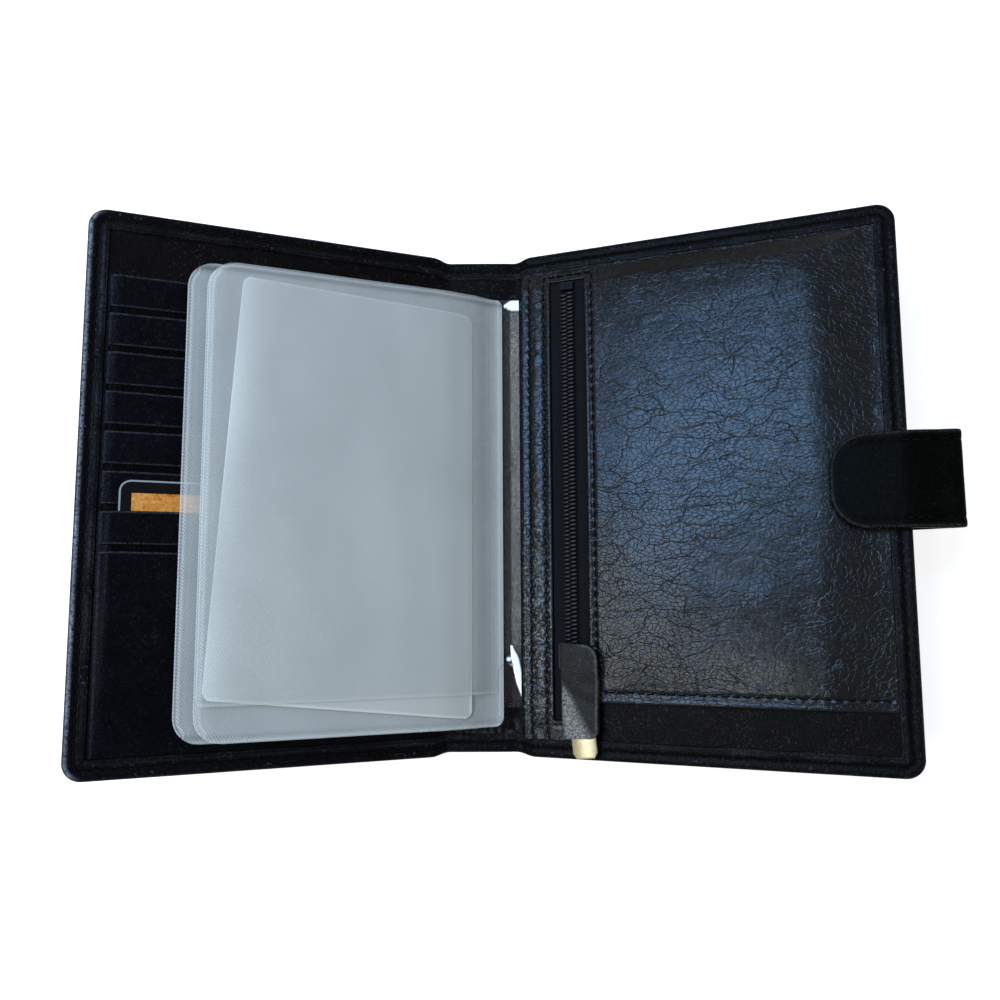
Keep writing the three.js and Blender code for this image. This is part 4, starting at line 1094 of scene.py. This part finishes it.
# turns are the strap's directions before and after the joint, in degrees
STRAP_LINKS = {
    "strap_root_part": {"bodies": ("right_cover", "strap_first"), "nodes": ["strap_root"],
                        "joint": (108.4, -2.45), "reach": 3.2, "turns": (0.0, 20.0)},
    "strap_bend_part": {"bodies": ("strap_first", "strap_second"), "nodes": ["strap_first_bend"],
                        "joint": (118.5957, 1.2609), "reach": 3.4, "turns": (20.0, 160.0)},
    "strap_tip_part": {"bodies": ("strap_second", "strap_tab"),
                       "nodes": ["strap_second_bend", "strap_end_outer", "strap_end_lining"],
                       "joint": (107.5074, 5.2967), "reach": 3.2, "turns": (160.0, 180.0)},
}


def rounded_corner(a, corner, b):
    """Points of the arc that rounds the corner between a and b."""
    a, corner, b = (np.array(p) for p in (a, corner, b))
    to_a, to_b = unit(a - corner), unit(b - corner)
    half_turn = math.pi / 2 - math.acos(np.clip(to_a @ to_b, -1, 1)) / 2
    start = corner + to_a * STRAP_ARC * math.tan(half_turn)
    centre = corner + unit(to_a + to_b) * STRAP_ARC / math.cos(half_turn)
    angle = math.atan2(*(start - centre)[::-1])
    return centre + STRAP_ARC * polar(angle + np.linspace(0, 2 * half_turn, 16))


def bezier(a, lead_a, lead_b, b):
    t = np.linspace(0, 1, 40)[:, None]
    a, b = np.array(a), np.array(b)
    p, q = a + np.array(lead_a), b + np.array(lead_b)
    return a * (1 - t) ** 3 + 3 * p * t * (1 - t) ** 2 + 3 * q * t ** 2 * (1 - t) + b * t ** 3


def strap_path():
    """The strap's middle line in a few hundred points, with the normal at each."""
    root, first, rise, loop, fall, third, tip = STRAP_POINTS
    path, run = measured(np.concatenate([
        [root], rounded_corner(root, first, rise), bezier(rise, 2.6 * polar(STRAP_RISE), (0, -1.56), loop),
        bezier(loop, (0, 1.56), 2.6 * polar(-STRAP_RISE), fall), rounded_corner(fall, third, tip), [tip]]))
    fine = spaced(0, run[-1], 0.12)
    points = read_off(fine, run, path)
    way = unit(np.gradient(points, axis=0))
    return fine, points, np.stack([-way[:, 1], way[:, 0]], 1)


STRAP_RUN, STRAP_LINE, STRAP_NORMAL = strap_path()


def strap_run_at(point, low, high):
    """Where the path passes nearest to a point, between two runs."""
    near = np.hypot(*(STRAP_LINE - np.array(point)).T)
    near[(STRAP_RUN < low) | (STRAP_RUN > high)] = 99
    return STRAP_RUN[np.argmin(near)]


def strap_bend(run, y, h):
    """h is measured to the left of the path, which is the inner side of the curl."""
    s, up = (read_off(run, STRAP_RUN, STRAP_LINE) + (h * read_off(run, STRAP_RUN, STRAP_NORMAL).T).T).T
    return right_flat(s, y, up)


def strap_surface(run, y, seed):
    d_side = STRAP_HALF - np.abs(y)
    h = STRAP_THICK / 2 - 0.14 * groove(d_side - STRAP_ROW_IN, 0.4) * (0.8 + 0.4 * cycle(run, 2.5))
    return h + 0.08 * groove(d_side - 1.2, 0.8) + 0.04 * noise(run, y, 4, seed)


def build_strap():
    total = STRAP_RUN[-1]
    cuts = [0, strap_run_at(STRAP_POINTS[2], 35, 51), strap_run_at(STRAP_POINTS[4], 50, 65), total]
    row_half = STRAP_HALF - STRAP_ROW_IN
    for (name, link), low, high in zip(STRAP_LINKS.items(), cuts[:-1], cuts[1:]):
        if low == 0:
            run = merged(END_STOPS, spaced(1.2, high, 0.7))
            paths = [[[high, row_half], [STRAP_ROW_IN, row_half],
                      [STRAP_ROW_IN, -row_half], [high, -row_half]]]
        elif high == total:
            run = merged(spaced(low, high - 12, 0.6), spaced(high - 12, high - 1.2, 0.5), high - END_STOPS)
            paths = [round_end(low, total - STRAP_ROW_IN, row_half, STRAP_CORNER - STRAP_ROW_IN, 20)]
        else:
            run = spaced(low, high, 0.3)
            paths = [[[low, side * row_half], [high, side * row_half]] for side in (-1, 1)]
        run, y = grid(run, edged(-STRAP_HALF, STRAP_HALF, STRAP_STOPS, 1.0))
        d = STRAP_HALF - np.abs(y)
        if low == 0:
            d = np.minimum(d, run)
        elif high == total:
            d = np.minimum(d, total - run)
            run, y = round_box(run, y, 0, total, -STRAP_HALF, STRAP_HALF, (0, STRAP_CORNER, STRAP_CORNER, 0))
        outer = -strap_surface(run, y, 502) + rim_round(d, 0.45)
        inner = strap_surface(run, y, 501) - rim_round(d, 0.45)
        # painted highlight along the strap's edges, painted shade in the stitch rows
        piece = slab(name, run, y, inner, outer, strap_bend, "strap",
                     painted_light_and_density=0.45 * groove(d - 0.5, 0.3) - groove(d - STRAP_ROW_IN, 0.3))
        strap_blend(settle(piece, link["nodes"]), link)
        # both faces of the strap carry the same rows
        for face, sign in (("outer", -1), ("inner", 1)):
            for index, path in enumerate(paths):
                row = sew(f"{name}_{face}_stitches_{index}", strap_bend, path,
                          sign * (STRAP_THICK / 2 - 0.06),
                          pitch=2.4, length=1.75, thick=0.22, start=0.1, seed=9, underside=sign < 0)
                strap_blend(row, link)


def strap_blend(piece, link):
    joint = np.array(link["joint"])
    before, after = link["reach"] * polar(np.radians(link["turns"]))
    start, end = (tuple(right_flat(p[0], 0.0, p[1]) * MM) for p in (joint - before, joint + after))
    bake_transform(piece)


# Camera, light and floor. Lengths are in metres here and angles in degrees.

CAMERA_AT, CAMERA_TILT, CAMERA_ROLL = (0.00516, -0.03142, 0.27096), -6.67, 0.26
CAMERA_LENS, CAMERA_SENSOR = 32.4, 36
# name, target, direction to the lamp, distance, size, power, colour, turn
LAMPS = [
    ("sheen_lamp", (0.0635, 0.0194, 0.0253), (-0.481, 0.170, 0.854), 0.62, (0.20, 0.26),
     4.1, (0.34, 0.60, 1.0), 46),
    ("low_lamp", (0.035, -0.04, 0.015), (-0.605, -0.032, 0.782), 0.62, (0.17, 0.17),
     1.15, (1.0, 0.94, 0.85), 0),
    ("small_lamp", (0.009, -0.05, 0.003), (-0.376, -0.138, 0.916), 0.62, (0.04, 0.04),
     0.4, (1.0, 0.97, 0.92), 0),
    ("top_lamp", (0, 0, 0.02), (0.15, 0.9, 0.75), 0.9, (0.5, 0.3), 1.0, (1.0, 0.97, 0.92), 0),
]
FLOOR_SIZE = 3.0


def build_camera():
    data = bpy.data.cameras.new("camera")
    data.sensor_width = CAMERA_SENSOR
    data.lens = CAMERA_LENS
    data.clip_start, data.clip_end = 0.01, 20
    camera = bpy.data.objects.new("camera", data)
    bpy.context.scene.collection.objects.link(camera)
    tilt = Matrix.Rotation(math.radians(CAMERA_TILT), 3, "X")
    roll = Matrix.Rotation(math.radians(CAMERA_ROLL), 3, "Z")
    camera.matrix_world = Matrix.Translation(CAMERA_AT) @ (roll @ tilt).transposed().to_4x4()
    bpy.context.scene.camera = camera


def build_lamp(name, target, direction, distance, size, power, colour, turn):
    data = bpy.data.lights.new(name, "AREA")
    data.shape = "RECTANGLE"
    data.size, data.size_y = size
    data.energy = power
    data.color = colour
    light = bpy.data.objects.new(name, data)
    bpy.context.scene.collection.objects.link(light)
    way = unit(np.array(direction))
    light.location = np.array(target) + way * distance
    aim = Vector(tuple(-way)).to_track_quat("-Z", "Y")
    light.rotation_euler = (aim @ Quaternion((0, 0, 1), math.radians(turn))).to_euler()


def build_light():
    """Four lamps, and a world that is dimmer as a light than it looks."""
    for lamp in LAMPS:
        build_lamp(*lamp)
    world = bpy.data.worlds.new("studio")
    bpy.context.scene.world = world
    n = Nodes(world, "Background")
    n.set(Color=(1, 1, 1, 1), Strength=n.span(n.seen(), 0.0, 1.0, 0.25, 1.0))


def build_floor():
    n = paint("pale_floor")
    at = n.add("ShaderNodeTexCoord").outputs["Object"]
    n.set(Base_Color=n.colours(n.noise(at, 3.0), (0.55, 0.55, 0.55), (0.57, 0.57, 0.57)), Roughness=0.9,
          Emission_Color=(1, 1, 1, 1), Emission_Strength=n.times(n.seen(), 0.75))
    corners = FLOOR_SIZE * np.array([[-1, -1, 0], [1, -1, 0], [1, 1, 0], [-1, 1, 0]])
    mesh_object("floor", corners, np.array([[0, 1, 2, 3]]), corners, n.owner)


def dress_packed():
    """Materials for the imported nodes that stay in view."""
    looks = {("board", "board"): ["spine_board", "left_cover_board", "right_cover_board"],
             ("steel", "magnet_steel"): ["catch_plate", "strap_magnet"],
             ("black_metal", "black_metal"): ["zip_stop_joined", "zip_stop_closed", "zip_slider", "zip_bail"]}
    for (look, slot), nodes in looks.items():
        for node in nodes:
            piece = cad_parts[node]
            piece.data.materials.clear()
            piece.data.materials.append(MAT[look])


bpy.context.scene.view_settings.view_transform = "Standard"
build_camera()
build_light()
build_floor()
build_covers()
lining_sheet(LEFT, ["left_cover_lining", "spine_lining"], 21)
lining_sheet(RIGHT, ["right_cover_lining"], 22)
build_slots()
build_card()
build_insert()
build_sleeve()
build_flap()
build_panel()
build_zip()
build_pull()
build_strap()
dress_packed()
